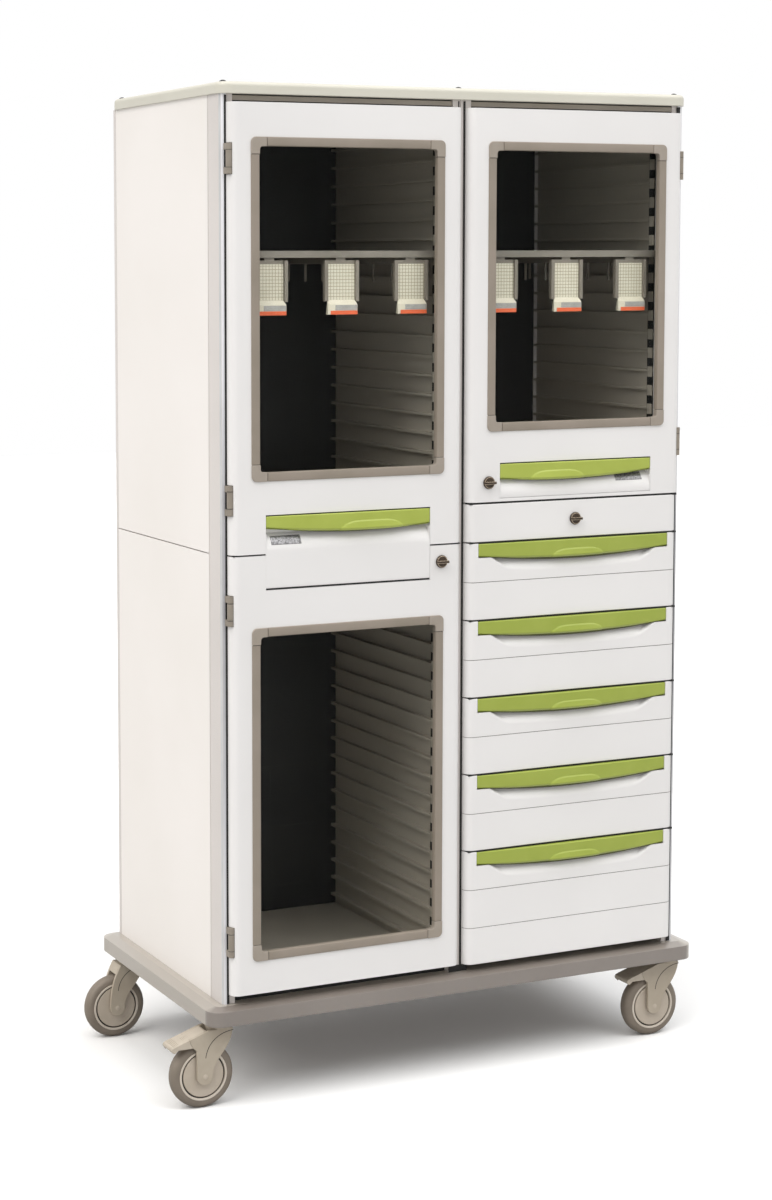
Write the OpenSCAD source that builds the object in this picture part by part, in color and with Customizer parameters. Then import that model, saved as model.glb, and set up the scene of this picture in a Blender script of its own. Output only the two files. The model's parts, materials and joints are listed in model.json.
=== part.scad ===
// Catheter supply cabinet: two bays on casters, glazed doors, five drawers.
// Millimetres, +Z up, front toward -Y, origin on the floor under the middle of the footprint.
// The modules work from the middle of the case, with y = 0 at the front of the posts.

/* [Front grid] */
// height of one front unit
unit = 76.2; // [74:0.1:78]
// gap between neighbouring fronts
front_gap = 3; // [2:0.5:4]
// thickness of door leaves and drawer fronts
front_t = 19.5; // [18:0.5:22]
// rounding of the upright edges of the fronts
front_r = 16; // [10:1:17]
// gap between the fronts and the posts
post_gap = 1.5; // [1:0.5:2]
// gap under the lowest front
foot_gap = 14; // [11:1:17]
// strip above the highest front
head_h = 13.6; // [12:0.1:18]
// thickness of the header rails, front to back
rail_t = 10; // [8:1:14]
// header rails behind the post fronts
rail_step = 3; // [2:0.5:5]
// dark line under and over the header rails
rail_line = 2.2; // [1.5:0.1:3]

/* [Case] */
// width over the side panels
case_w = 1016; // [1000:2:1040]
// depth from post front to rear post
case_d = 530; // [500:2:560]
// width of a corner post
post_w = 27; // [24:1:32]
// depth of a front post
post_d = 55; // [45:1:60]
// depth of a rear post
rear_post_d = 12; // [10:1:16]
// rounding of the outer front post edge
post_r = 9; // [5:1:12]
// wall of the hollow posts
post_wall = 3; // [2:0.5:4]
// width of the centre post
mid_post_w = 40; // [36:1:44]
// thickness of the side panels
panel_t = 6; // [4:1:8]
// step of the side panels behind the post faces
panel_step = 0.5; // [0.5:0.5:2]
// thickness of the centre partition
divider_t = 12; // [8:1:14]
// thickness of the back panels
back_t = 6; // [4:1:8]
// room between a side panel and the bay liner
panel_room = 10; // [8:1:12]
// back panels behind the bays
back_step = 2; // [1:0.5:3]
// joint between stacked panels
panel_joint = 2; // [1:0.5:3]

/* [Base and top] */
// height of the underside of the base over the floor
base_z = 164; // [155:1:175]
// upright rim of the base
base_rim = 28; // [24:1:32]
// rise of the bevel over the rim
base_rise = 6; // [4:1:9]
// width of the bevel
bevel_in = 20; // [12:1:24]
// base past the case at each side
base_side = 35; // [30:1:40]
// base past the post fronts
base_front = 29; // [26:1:34]
// base past the case at the rear
base_rear = 25; // [15:1:30]
// corner radius of the base
base_r = 30; // [26:1:34]
// wall around the hollow underside of the base
base_wall = 28; // [24:1:34]
// thickness of the base over its hollow underside
base_plate = 9; // [7:1:12]
// side of the solid corner that holds a caster
caster_pad = 130; // [120:2:150]
// thickness of the top panel
top_t = 22; // [18:1:26]
// rounding of the top panel edge
top_edge_r = 8; // [4:1:9]
// top past the case at each side
top_side = 4; // [2:1:8]
// top past the post fronts
top_front = 14; // [8:1:18]
// top past the case at the rear
top_rear = 6; // [2:1:10]
// corner radius of the top
top_r = 28; // [20:1:34]
// width of a dome cap
cap_d = 15; // [12:1:18]
// height of a dome cap
cap_h = 4; // [3:0.5:5]

/* [Fronts] */
// outer edge of the doors inside the side of the case
door_side = 13; // [11:0.5:14]
// inner edge of the fronts from the middle of the case
front_in = 7; // [6:0.5:8]
// outer edge of the drawer fronts inside the side of the case
drawer_side = 17; // [15:0.5:19]
// lift of the left door foot over the front grid
door_lift = 5; // [4:1:7]
// depth of the score lines on the drawer fronts
score_d = 1.2; // [0.8:0.2:2]
// width of the score lines
score_w = 1.6; // [1:0.2:2]

/* [Windows] */
// door beside the window trim
trim_side = 41; // [39:1:46]
// width of the trim band
trim_band = 17; // [15:1:20]
// trim lip inside the door hole
trim_lip = 8; // [6:1:10]
// trim proud of the door face
trim_proud = 3; // [2:0.5:4]
// depth of the trim lip into the door
trim_depth = 9; // [7:1:10]
// corner rounding of the trim
trim_r = 10; // [6:1:12]
// length of the trim corner pieces
trim_corner = 32; // [26:1:40]
// upper margin over the upper windows
window_head = 63; // [60:1:70]
// margin between window and the handle edge
window_foot = 137; // [134:1:142]
// thickness of the panes
pane_t = 3; // [3:0.5:4]

/* [Handles] */
// door beside the handle plates
handle_side = 70; // [68:1:74]
// height of a handle from its foot to the top of the grip
handle_h = 68; // [64:1:72]
// handle foot over the lower edge of the door
handle_foot = 7; // [6:1:9]
// part of the left plate under the joint of the leaves
handle_skirt = 66; // [60:1:70]
// height of a door grip at its hinge end
grip_h = 25; // [23:1:27]
// drop of the lower edge of a door grip
grip_sag = 10; // [8:1:11]
// lowest point of a door grip from its middle, toward the free edge
grip_low = 42; // [30:1:50]
// grip bow past the front face
grip_bow = 11; // [8:1:13]
// thickness of the grip behind the front face
grip_back = 7; // [6:0.5:8]
// depth of the finger recess
recess_d = 17; // [15:0.5:17.5]
// cheek beside the recess
recess_cheek = 2; // [1.5:0.5:4]
// length of the recess ramp
recess_ramp = 12; // [8:1:16]
// flange behind the door around the handle plate
plate_flange = 8; // [6:1:10]
// thickness of the flange
flange_t = 3; // [2:0.5:4]

/* [Drawers] */
// drawer front beside the grip
drawer_grip_side = 23; // [20:1:27]
// height of a drawer grip at its ends
drawer_grip_h = 27; // [25:1:29]
// drop of the lower edge of a drawer grip
drawer_grip_sag = 7; // [5:1:8]
// depth of the finger scoop
scoop_d = 13; // [11:0.5:14]
// grip past the finger scoop at each end
scoop_side = 29; // [23:1:40]
// slant of the scoop ends
scoop_slant = 40; // [25:1:50]
// height of the scoop under the grip
scoop_h = 28; // [24:1:30]
// room between a drawer box and the bay walls
box_side = 26.75; // [25:0.25:30]
// room behind a drawer box
box_rear = 59.5; // [55:0.5:80]
// wall of a drawer box
box_wall = 3; // [2.5:0.5:4]
// box floor over the lower edge of the front
box_lift = 14; // [12:1:18]
// box rim under the upper edge of the front
box_drop = 36; // [34:1:40]
// reach of the box tongue
tongue_w = 12; // [10:1:14]
// height of the box tongue
tongue_h = 9; // [8:1:10]
// tongue over the box floor
tongue_lift = 30; // [26:1:36]
// box in front of its tongue
tongue_front = 60; // [58:1:70]
// wall of the fixed runner
runner_wall = 5; // [4:0.5:6]
// room between a drawer box and its runners
runner_gap = 3; // [2:0.5:4]
// room behind the runners
runner_rear = 10; // [6:1:20]

/* [Interior] */
// plate of a bay liner
liner_t = 3; // [2:0.5:3]
// rib of the outer liners
rib_out = 8; // [6:1:8]
// height of a rib
rib_h = 5; // [4:0.5:7]
// thickness of the bay floors
deck_t = 10; // [8:1:12]
// thickness of a shelf
shelf_t = 13; // [11:0.5:16]
// shelf front behind the post fronts
shelf_y = 18; // [16:1:24]
// rib that carries the upper shelves
upper_shelf_rib = 36; // [35:1:37]
// rib that carries the middle shelf
middle_shelf_rib = 21; // [21:1:22]
// rib that carries the deck over the drawers
drawer_deck_rib = 23; // [23:1:23]
// bay wall beside the row of catheter slides
slide_side = 16.25; // [12:0.25:24]
// width of a slide front
slide_w = 72; // [66:1:76]
// height of a slide front
slide_h = 82; // [78:1:88]
// width of the tag
tag_w = 57; // [50:1:58]
// height of the blank label strip
label_h = 25; // [22:1:28]
// width of the rail under the shelf
rail_w = 20; // [16:1:26]
// height of that rail
rail_h = 12; // [10:1:16]
// plate thickness of a slide front
slide_t = 3; // [2:0.5:4]
// slide front under the shelf
slide_drop = 5; // [4:0.5:8]
// thickness of a tag
tag_t = 2; // [1.5:0.5:3]
// tag under the shelf
tag_drop = 7; // [6:0.5:9]
// label strip past the tag at each side
label_side = 4; // [2:0.5:6]
// label strip in front of the shelf edge
label_out = 6; // [4:0.5:7]
// radius of a peg
peg_r = 2.5; // [2:0.5:3]
// length of a peg
peg_l = 34; // [28:1:40]
// room behind a rail
rail_rear = 60; // [40:1:80]
// pegs on a rail
pegs = 5; // [4:1:6]

/* [Hinges and locks] */
// radius of a hinge barrel
barrel_r = 6; // [5.5:0.5:6.5]
// length of a hinge barrel
barrel_l = 56; // [52:1:60]
// length of the end knuckles on the frame
end_knuckle = 12; // [10:0.5:14]
// hinge middle from the end of its leaf
hinge_inset = 103; // [98:1:108]
// hinge axis inside the outer door edge
hinge_in = 1; // [0.5:0.5:1.5]
// hinge axis in front of the posts
hinge_y = 12; // [11:0.5:12.5]
// radius of the hinge pin
pin_r = 2.5; // [2:0.5:3]
// thickness of the door hinge leaf
leaf_plate_t = 3; // [2:0.5:4]
// length of the door hinge leaf
leaf_plate_l = 22; // [18:1:26]
// width of a lock knob
knob_d = 25; // [22:1:28]
// thickness of a lock knob
knob_t = 5; // [4:0.5:6]
// reach of the knob fin past the knob
fin_h = 7; // [6:0.5:8]
// thickness of the knob fin
fin_t = 5; // [4:0.5:6]
// radius of the lock shaft
shaft_r = 6; // [5:0.5:7]
// reach of the lock cam into the centre post
cam_bite = 5; // [4:0.5:6]
// width of the lock cam
cam_w = 10; // [8:1:11]
// thickness of the lock cam
cam_t = 3; // [2.5:0.5:3.5]
// lock beside the handle plate
lock_side = 25; // [23:0.5:27]
// lower-leaf lock under the joint of the leaves
lock_drop = 33; // [30:1:36]
// short-door lock over the foot of its handle
lock_lift = 31; // [28:1:34]

/* [Casters] */
// radius of a wheel
wheel_r = 63.5; // [61.5:0.5:65]
// width of a wheel
wheel_w = 30; // [28:1:32]
// distance of the wheel behind the swivel
trail = 38; // [36:1:41]
// swivels inside the sides of the base
swivel_side = 38; // [36:1:44]
// front swivels inside the front of the base
swivel_front = 53; // [50:1:60]
// rear swivels inside the rear of the base
swivel_rear = 79; // [70:1:88]
// thickness of a fork arm
arm_t = 6; // [5:0.5:7]
// room between wheel and fork arm
arm_gap = 2; // [1.5:0.5:3]
// radius of the swivel hub
hub_r = 27; // [25:1:30]
// radius of the swivel stem
stem_r = 6; // [5:0.5:7]
// length of the stem in the base
stem_l = 24; // [20:1:26]
// radius of the axle
axle_r = 5; // [4:0.5:6]
// radius of the fork arm around the axle
arm_r = 16; // [14:1:18]
// crown in front of the swivel
crown_front = 19; // [17:1:21]
// crown behind the swivel
crown_back = 31; // [28:1:33]
// height of the crown under the base
crown_drop = 12; // [10:1:14]
// room between tyre and crown
tyre_room = 6; // [5:1:10]
// rounding of the tyre shoulders
shoulder_r = 8; // [5:1:10]
// depth of the tyre over the rim
tyre_d = 15; // [13:1:17]
// width of the raised rim ring
rim_ring = 4; // [3:0.5:5]
// wheel disc behind the tyre faces
disc_step = 4; // [2:0.5:6]
// reach of the brake pedal past the wheel middle
pedal_l = 68; // [66:1:72]
// pedal tip under the top of the wheel
pedal_tip = 4.5; // [3:0.5:5.5]
// pedal hinge behind the swivel
pedal_back = 35; // [33:1:36]
// pedal hinge under the crown top
pedal_drop = 8; // [7:0.5:9]
// radius of the pedal barrel
pedal_r = 6; // [5:0.5:7]
// radius of the pedal pin
pedal_pin_r = 3; // [2.5:0.5:3.5]
// distance between the ribs on the pedal
pedal_rib = 4; // [3.5:0.5:4.5]
// width of the pedal between the fork arms
pedal_w = 33; // [30:1:33]
// radius of the fork ears around the pedal hinge
ear_r = 35; // [33:1:36]
// lower edge of the pedal skirts under the top of the wheel
skirt_drop = 5; // [4:0.5:6]

/* [Fits] */
// running clearance of pins, shafts and stems, on the radius
run_fit = 0.05; // [0.02:0.01:0.1]
// room around inserts
insert_fit = 0.5; // [0.4:0.1:0.8]
// room of the drawer tongues in their runners
slide_fit = 0.5; // [0.4:0.1:1]

/* [Hidden] */
$fn = 64;
bow_steps = 24;
eps = 1;
case_h = foot_gap + 22 * unit + head_h;
base_top = base_z + base_rim + base_rise;
case_top = base_top + case_h;
grid_z = base_top + foot_gap;
mid_z = grid_z + 11 * unit;
head_z = grid_z + 22 * unit;
face_y = -(post_gap + front_t);
half_gap = front_gap / 2;
half_w = case_w / 2;
open_out = half_w - post_w;
open_in = mid_post_w / 2;
bay_out = half_w - panel_step - panel_t - panel_room;
liner_out = bay_out - liner_t;
liner_in = divider_t / 2 + liner_t;
rib_in = open_in - liner_in;
bay_x = (liner_out + liner_in) / 2;
rear_y = case_d - rear_post_d;
rib_pitch = unit / 2;
rib_z0 = grid_z + unit / 4;
rib_count = 44;
door_out = half_w - door_side;
drawer_out = half_w - drawer_side;
door_w = door_out - front_in;
door_x = (door_out + front_in) / 2;
drawer_w = drawer_out - front_in;
drawer_x = (drawer_out + front_in) / 2;
door_top = head_z - half_gap;
joint_z = mid_z + half_gap;
left_foot = grid_z + door_lift;
right_foot = mid_z + unit + half_gap + eps;
trim_w = door_w - 2 * trim_side;
hole_w = trim_w - 2 * (trim_band - trim_lip);
handle_w = door_w - 2 * handle_side;
drawer_grip_w = drawer_w - 2 * drawer_grip_side;
scoop_top = drawer_grip_w / 2 - scoop_side;
scoop_foot = scoop_top - scoop_slant;
box_w = liner_out - liner_in - 2 * box_side;
box_d = rear_y - box_rear + post_gap;
tongue_l = box_d - tongue_front;
slide_pitch = (liner_out - liner_in - 2 * slide_side) / 3;
lock_in = handle_side - lock_side;
cam_l = lock_in + front_in - open_in + cam_bite;
grip_y = face_y + grip_back;
recess_y = face_y + recess_d;
scoop_y = face_y + scoop_d;
recess_head = 4;
scoop_head = 8;
scoop_lift = 3;
left_handle_z = joint_z + handle_foot - half_gap;
right_handle_z = right_foot + handle_foot;
left_lock_z = joint_z - lock_drop;
right_lock_z = right_handle_z + lock_lift;
panel_lock_z = mid_z + unit / 2;
cam_y = 8;
slot_room = 3;
hinge_x = door_out - hinge_in;
barrel_gap = 0.4;
door_barrel = barrel_l - 2 * (end_knuckle + barrel_gap);
wheel_z = wheel_r;
arm_y = wheel_w / 2 + arm_gap;
crown_z = base_z - crown_drop - wheel_z;
hub_gap = 2;
hub_top = base_z - hub_gap;
pedal_x = trail - pedal_back;
pedal_z = crown_z - pedal_drop;
tip_z = wheel_r - pedal_tip;
knee_x = -0.7 * pedal_l;
knee_z = tip_z + 1.75 * pedal_r;
ear_gap = 0.4;
swivel_x = half_w + base_side - swivel_side;
front_swivel_y = swivel_front - base_front;
rear_swivel_y = case_d + base_rear - swivel_rear;
foot_left = swivel_x + trail + pedal_l;
foot_right = half_w + base_side;
reach_front = -face_y + insert_fit + knob_t + fin_h;
cab_x = (foot_left - foot_right) / 2;
cab_y = (reach_front - case_d - base_rear) / 2;

// drawer numbers from the top: lower edge and height in units
drawer_low = [9, 7, 5, 3, 0];
drawer_units = [2, 2, 2, 2, 3];

function bez(a, b, c, d, n) = [for (i = [0:n]) let (t = i / n, s = 1 - t)
    s * s * s * a + 3 * s * s * t * b + 3 * s * t * t * c + t * t * t * d];
function bow_points(w) = [for (i = [0:bow_steps]) let (t = 2 * i / bow_steps - 1)
    [t * w / 2, face_y - grip_bow * (1 - t * t)]];
function sag_points(w, h, sag, low) = [for (i = [0:bow_steps])
    let (x = (i / bow_steps - 0.5) * w, t = (x - low) / (w / 2 + abs(low))) [x, -h - sag * (1 - t * t)]];
function rib_top(k) = rib_z0 + k * rib_pitch;
function drawer_z(i) = grid_z + drawer_low[i] * unit + half_gap;
function drawer_h(i) = drawer_units[i] * unit - front_gap;

// box from one corner to the other
module span(a, b) {
    translate(a)
        cube(b - a);
}

// flat rectangle with round corners, about its middle
module round_rect(w, d, r) {
    union() {
        square([w - 2 * r, d], center = true);
        square([w, d - 2 * r], center = true);
        for (sx = [-1, 1], sy = [-1, 1])
            translate([sx * (w / 2 - r), sy * (d / 2 - r)])
                circle(r);
    }
}

// plan of a front: back at y = 0, upright face edges rounded
module front_plan(w) {
    union() {
        translate([-w / 2 + front_r, -front_t])
            square([w - 2 * front_r, front_t]);
        translate([-w / 2, -front_t + front_r])
            square([w, front_t - front_r]);
        for (s = [-1, 1])
            intersection() {
                translate([s * (w / 2 - front_r), -front_t + front_r])
                    circle(front_r);
                translate([s > 0 ? w / 2 - front_r : -w / 2, -front_t])
                    square([front_r, front_r]);
            }
    }
}

module front_slab(x, w, z0, z1) {
    translate([x, -post_gap, z0])
        linear_extrude(z1 - z0)
            front_plan(w);
}

// base: upright rim, bevel above
module base_tray() {
    w = case_w + 2 * base_side;
    d = case_d + base_front + base_rear;
    my = (case_d + base_rear - base_front) / 2;
    color("#a2998c")
        difference() {
            translate([0, my, base_z])
                union() {
                    linear_extrude(base_rim)
                        round_rect(w, d, base_r);
                    translate([0, 0, base_rim]) {
                        for (sx = [-1, 1], sy = [-1, 1])
                            translate([sx * (w / 2 - base_r), sy * (d / 2 - base_r), 0])
                                cylinder(h = base_rise, r1 = base_r, r2 = base_r - bevel_in);
                        rotate([90, 0, 0])
                            linear_extrude(d - 2 * base_r, center = true)
                                bevel_section(w);
                        rotate([90, 0, 90])
                            linear_extrude(w - 2 * base_r, center = true)
                                bevel_section(d);
                    }
                }
            translate([0, my, base_z - eps])
                linear_extrude(base_rim + base_rise - base_plate + eps)
                    difference() {
                        square([w - 2 * base_wall, d - 2 * base_wall], center = true);
                        for (sx = [-1, 1], sy = [-1, 1])
                            translate([sx * w / 2, sy * d / 2])
                                square(2 * caster_pad, center = true);
                    }
            for (sx = [-1, 1], y = [front_swivel_y, rear_swivel_y])
                translate([sx * swivel_x, y, base_z - eps])
                    cylinder(h = stem_l + 2 * eps, r = stem_r + run_fit);
        }
}

module bevel_section(w) {
    polygon([[-w / 2, 0], [w / 2, 0], [w / 2 - bevel_in, base_rise], [-w / 2 + bevel_in, base_rise]]);
}

// hollow front posts with a rounded outer edge, plain rear posts
module corner_posts() {
    color("#d8d8d6")
        for (s = [-1, 1]) {
            translate([0, 0, base_top])
                linear_extrude(case_h)
                    difference() {
                        union() {
                            translate([s > 0 ? open_out : -half_w, post_r])
                                square([post_w, post_d - post_r]);
                            translate([s > 0 ? open_out : -half_w + post_r, 0])
                                square([post_w - post_r, post_d]);
                            translate([s * (half_w - post_r), post_r])
                                circle(post_r);
                        }
                        translate([s > 0 ? open_out + post_wall : -half_w + post_wall, post_r])
                            square([post_w - 2 * post_wall, post_d - post_r - post_wall]);
                    }
            span([s > 0 ? open_out : -half_w, rear_y, base_top],
                [s > 0 ? half_w : -open_out, case_d, case_top]);
        }
}

// hollow centre post with slots for the door lock cams
module centre_post() {
    slot_low = cam_l * 0.7;
    slot_high = cam_w / 2 + slot_room;
    color("#d8d8d6")
        difference() {
            span([-open_in, 0, base_top], [open_in, post_d, case_top]);
            span([-open_in + post_wall, post_wall, base_top - eps],
                [open_in - post_wall, post_d - post_wall, case_top + eps]);
            span([-open_in - eps, cam_y - slot_room, left_lock_z - slot_low],
                [-open_in + post_wall + eps, cam_y + cam_t + slot_room, left_lock_z + slot_high]);
            span([open_in - post_wall - eps, cam_y - slot_room, right_lock_z - slot_low],
                [open_in + eps, cam_y + cam_t + slot_room, right_lock_z + slot_high]);
        }
}

module side_panels() {
    color("#efebe3")
        for (s = [-1, 1], up = [0, 1]) {
            x0 = s > 0 ? half_w - panel_step - panel_t : -half_w + panel_step;
            z0 = up > 0 ? mid_z + panel_joint / 2 : base_top;
            z1 = up > 0 ? case_top : mid_z - panel_joint / 2;
            span([x0, post_d, z0], [x0 + panel_t, rear_y, z1]);
        }
}

module back_panels() {
    color("#2b2b2c")
        for (s = [-1, 1]) {
            x0 = s > 0 ? panel_joint / 2 : -open_out;
            x1 = s > 0 ? open_out : -panel_joint / 2;
            span([x0, rear_y + back_step, base_top], [x1, rear_y + back_step + back_t, case_top]);
        }
}

module centre_partition() {
    color("#c9c4ba")
        span([-divider_t / 2, post_d, base_top], [divider_t / 2, rear_y + back_step, case_top]);
}

// top panel with round corners and a rounded edge
module top_panel() {
    w = case_w + 2 * top_side;
    d = case_d + top_front + top_rear;
    my = (case_d + top_rear - top_front) / 2;
    color("#e4dfcf")
        translate([0, my, case_top])
            union() {
                rotate([90, 0, 0])
                    linear_extrude(d - 2 * top_r, center = true)
                        top_section(w);
                rotate([90, 0, 90])
                    linear_extrude(w - 2 * top_r, center = true)
                        top_section(d);
                for (sx = [-1, 1], sy = [-1, 1])
                    translate([sx * (w / 2 - top_r), sy * (d / 2 - top_r), 0])
                        rotate_extrude()
                            intersection() {
                                top_section(2 * top_r);
                                square([top_r, top_t]);
                            }
            }
}

module top_section(w) {
    e = top_edge_r;
    union() {
        translate([-w / 2, 0])
            square([w, top_t - e]);
        translate([-w / 2 + e, 0])
            square([w - 2 * e, top_t]);
        for (s = [-1, 1])
            translate([s * (w / 2 - e), top_t - e])
                circle(e);
    }
}

// low domes over the ends of the posts
module top_caps() {
    ball_r = (cap_d * cap_d / 4 + cap_h * cap_h) / (2 * cap_h);
    inset = 14;
    color("#3a3a3b")
        for (x = [-half_w + inset, 0, half_w - inset], y = [inset, case_d - inset])
            translate([x, y, case_top + top_t])
                rotate_extrude()
                    intersection() {
                        translate([0, cap_h - ball_r])
                            circle(ball_r);
                        square([cap_d, cap_h]);
                    }
}

module header_rails() {
    color("#9a9184")
        for (s = [-1, 1])
            span([s > 0 ? open_in : -open_out, rail_step, head_z + rail_line],
                [s > 0 ? open_out : -open_in, rail_step + rail_t, case_top - rail_line]);
}

// comb-shaped wall plate; ribs point toward +X
module liner(z0, z1, rib) {
    ks = [for (k = [0:rib_count - 1])
        if (rib > 0 && rib_top(k) - rib_h > z0 + rib_h && rib_top(k) < z1 - rib_h) k];
    teeth = [for (k = ks) each [[liner_t, rib_top(k) - rib_h], [liner_t + rib, rib_top(k) - rib_h],
        [liner_t + rib, rib_top(k)], [liner_t, rib_top(k)]]];
    translate([0, rear_y, 0])
        rotate([90, 0, 0])
            linear_extrude(rear_y - post_d)
                polygon(concat([[0, z0], [liner_t, z0]], teeth, [[liner_t, z1], [0, z1]]));
}

module bay_liners() {
    low = base_top + deck_t;
    deck = rib_top(drawer_deck_rib);
    color("#b9b09d") {
        translate([-bay_out, 0, 0])
            liner(low, case_top, rib_out);
        translate([-divider_t / 2, 0, 0])
            mirror([1, 0, 0])
                liner(low, case_top, rib_in);
        translate([bay_out, 0, 0])
            mirror([1, 0, 0])
                liner(deck + shelf_t, case_top, rib_out);
        translate([divider_t / 2, 0, 0])
            liner(deck + shelf_t, case_top, rib_in);
        translate([bay_out, 0, 0])
            mirror([1, 0, 0])
                liner(low, deck, 0);
        translate([divider_t / 2, 0, 0])
            liner(low, deck, 0);
    }
}

// floors of both bays and the deck over the drawers
module bay_decks() {
    deck = rib_top(drawer_deck_rib);
    color("#8c8478") {
        for (s = [-1, 1])
            span([s > 0 ? divider_t / 2 : -bay_out, post_d, base_top],
                [s > 0 ? bay_out : -divider_t / 2, rear_y, base_top + deck_t]);
        span([divider_t / 2, post_d, deck], [bay_out, rear_y, deck + shelf_t]);
    }
}

module shelf(s, k) {
    z = rib_top(k);
    span([s > 0 ? liner_in + insert_fit : -liner_out + insert_fit, post_d + insert_fit, z],
        [s > 0 ? liner_out - insert_fit : -liner_in - insert_fit, rear_y - insert_fit, z + shelf_t]);
    span([s > 0 ? open_in + insert_fit : -open_out + insert_fit, shelf_y, z],
        [s > 0 ? open_out - insert_fit : -open_in - insert_fit, post_d + 2 * insert_fit, z + shelf_t]);
}

module shelves() {
    color("#948b7e") {
        union()
            shelf(-1, upper_shelf_rib);
        union()
            shelf(-1, middle_shelf_rib);
        union()
            shelf(1, upper_shelf_rib);
    }
}

// places one thing per catheter slide, at the middle under its shelf
module each_slide() {
    for (p = [[-1, upper_shelf_rib], [-1, middle_shelf_rib], [1, upper_shelf_rib]], i = [-1, 0, 1])
        translate([p[0] * bay_x + i * slide_pitch, shelf_y, rib_top(p[1])])
            children();
}

// rail under the shelf, channel-shaped front, pegs behind it
module catheter_slides() {
    wall = (slide_w - tag_w) / 2 - insert_fit;
    reach = rear_y - shelf_y - rail_rear;
    peg_step = (reach - rail_rear) / pegs;
    color("#9c9385")
        each_slide()
            union() {
                span([-rail_w / 2, slide_t, -rail_h], [rail_w / 2, reach, 0]);
                span([-slide_w / 2, slide_t, -slide_h], [slide_w / 2, 2 * slide_t, -slide_drop]);
                for (s = [-1, 1])
                    span([s > 0 ? slide_w / 2 - wall : -slide_w / 2, -slide_t, -slide_h],
                        [s > 0 ? slide_w / 2 : -slide_w / 2 + wall, 2 * slide_t, -slide_drop]);
                for (k = [1:pegs])
                    translate([0, slide_t + k * peg_step, -rail_h - peg_l])
                        cylinder(h = peg_l + eps, r = peg_r);
            }
}

// tag in the channel, wider blank label strip at its foot
module slide_tags() {
    half = tag_w / 2;
    foot = slide_h + label_h;
    color("#e6dfc6")
        each_slide()
            union() {
                span([-half, slide_t - tag_t, -slide_h], [half, slide_t, -tag_drop]);
                span([-half - label_side, -label_out, -foot],
                    [half + label_side, slide_t, -slide_h - insert_fit]);
                span([-half, -label_out + tag_t, -slide_h - tag_t], [half, slide_t, -slide_h + 2 * tag_t]);
            }
}

module lock_panel() {
    z0 = mid_z + half_gap;
    color("#e6e5e3")
        difference() {
            union() {
                front_slab(drawer_x, drawer_w, z0, mid_z + unit - half_gap);
                for (x = [front_in, open_out])
                    span([x, -post_gap - eps, z0],
                        [x == front_in ? open_in : drawer_out, 0, mid_z + unit - half_gap]);
            }
            lock_bore(drawer_x, panel_lock_z);
        }
}

module lock_bore(x, z) {
    translate([x, eps, z])
        rotate([90, 0, 0])
            cylinder(h = front_t + post_gap + 3 * eps, r = shaft_r + run_fit);
}

// lock: knob with fin in front, shaft, cam behind pointing down
module thumb_turn(x, z, l) {
    color("#3b332c")
        translate([x, 0, z])
            union() {
                translate([0, face_y - insert_fit, 0])
                    rotate([90, 0, 0])
                        cylinder(h = knob_t, r = knob_d / 2);
                span([-knob_d / 2, face_y - insert_fit - knob_t - fin_h, -fin_t / 2],
                    [knob_d / 2, face_y - insert_fit - knob_t + eps, fin_t / 2]);
                translate([0, cam_y + cam_t, 0])
                    rotate([90, 0, 0])
                        cylinder(h = cam_y + cam_t - face_y + 2 * eps, r = shaft_r);
                span([-cam_w / 2, cam_y, -l], [cam_w / 2, cam_y + cam_t, cam_w / 2]);
            }
}

module left_lock() {
    thumb_turn(-front_in - lock_in, left_lock_z, cam_l);
}

module right_lock() {
    thumb_turn(front_in + lock_in, right_lock_z, cam_l);
}

module drawer_lock() {
    thumb_turn(drawer_x, panel_lock_z, cam_l * 0.6);
}

// hinge parts are drawn for the left edge; s = 1 mirrors them to the right
module at_hinge(s, z) {
    mirror([s > 0 ? 1 : 0, 0, 0])
        translate([-hinge_x, -hinge_y, z])
            children();
}

module frame_knuckles() {
    block = 5.5;
    union() {
        for (q = [-1, 1])
            translate([0, 0, q * (barrel_l - end_knuckle) / 2]) {
                cylinder(h = end_knuckle, r = barrel_r, center = true);
                translate([-block, 0, -end_knuckle / 2])
                    cube([2 * block, hinge_y, end_knuckle]);
            }
        cylinder(h = barrel_l, r = pin_r, center = true);
    }
}

module door_knuckle() {
    difference() {
        union() {
            cylinder(h = door_barrel, r = barrel_r, center = true);
            translate([0, -leaf_plate_t / 2, -door_barrel / 2])
                cube([leaf_plate_l, leaf_plate_t, door_barrel]);
        }
        cylinder(h = barrel_l, r = pin_r + run_fit, center = true);
    }
}

// room in the door for one hinge
module hinge_room() {
    room = 0.6;
    side_room = 3;
    cylinder(h = barrel_l + 2 * eps, r = barrel_r + room, center = true);
    translate([-barrel_r - side_room, 0, -barrel_l / 2 - eps])
        cube([2 * barrel_r + side_room, hinge_y + eps, barrel_l + 2 * eps]);
    translate([0, -leaf_plate_t / 2, -door_barrel / 2])
        cube([leaf_plate_l, leaf_plate_t, door_barrel]);
}

function left_hinges() = [door_top - hinge_inset, joint_z + hinge_inset,
    joint_z - hinge_inset, left_foot + hinge_inset];
function right_hinges() = [door_top - hinge_inset, right_foot + hinge_inset];

module hinge_frame_leaves() {
    color("#8f877b") {
        for (z = left_hinges())
            at_hinge(-1, z)
                frame_knuckles();
        for (z = right_hinges())
            at_hinge(1, z)
                frame_knuckles();
    }
}

module left_hinge_leaves() {
    color("#8f877b")
        for (z = left_hinges())
            at_hinge(-1, z)
                door_knuckle();
}

module right_hinge_leaves() {
    color("#8f877b")
        for (z = right_hinges())
            at_hinge(1, z)
                door_knuckle();
}

// cuts of a door leaf: window hole between two heights
module window_hole(x, z0, z1) {
    side = trim_band - trim_lip;
    span([x - hole_w / 2, face_y - eps, z0 + side], [x + hole_w / 2, eps, z1 - side]);
}

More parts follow.
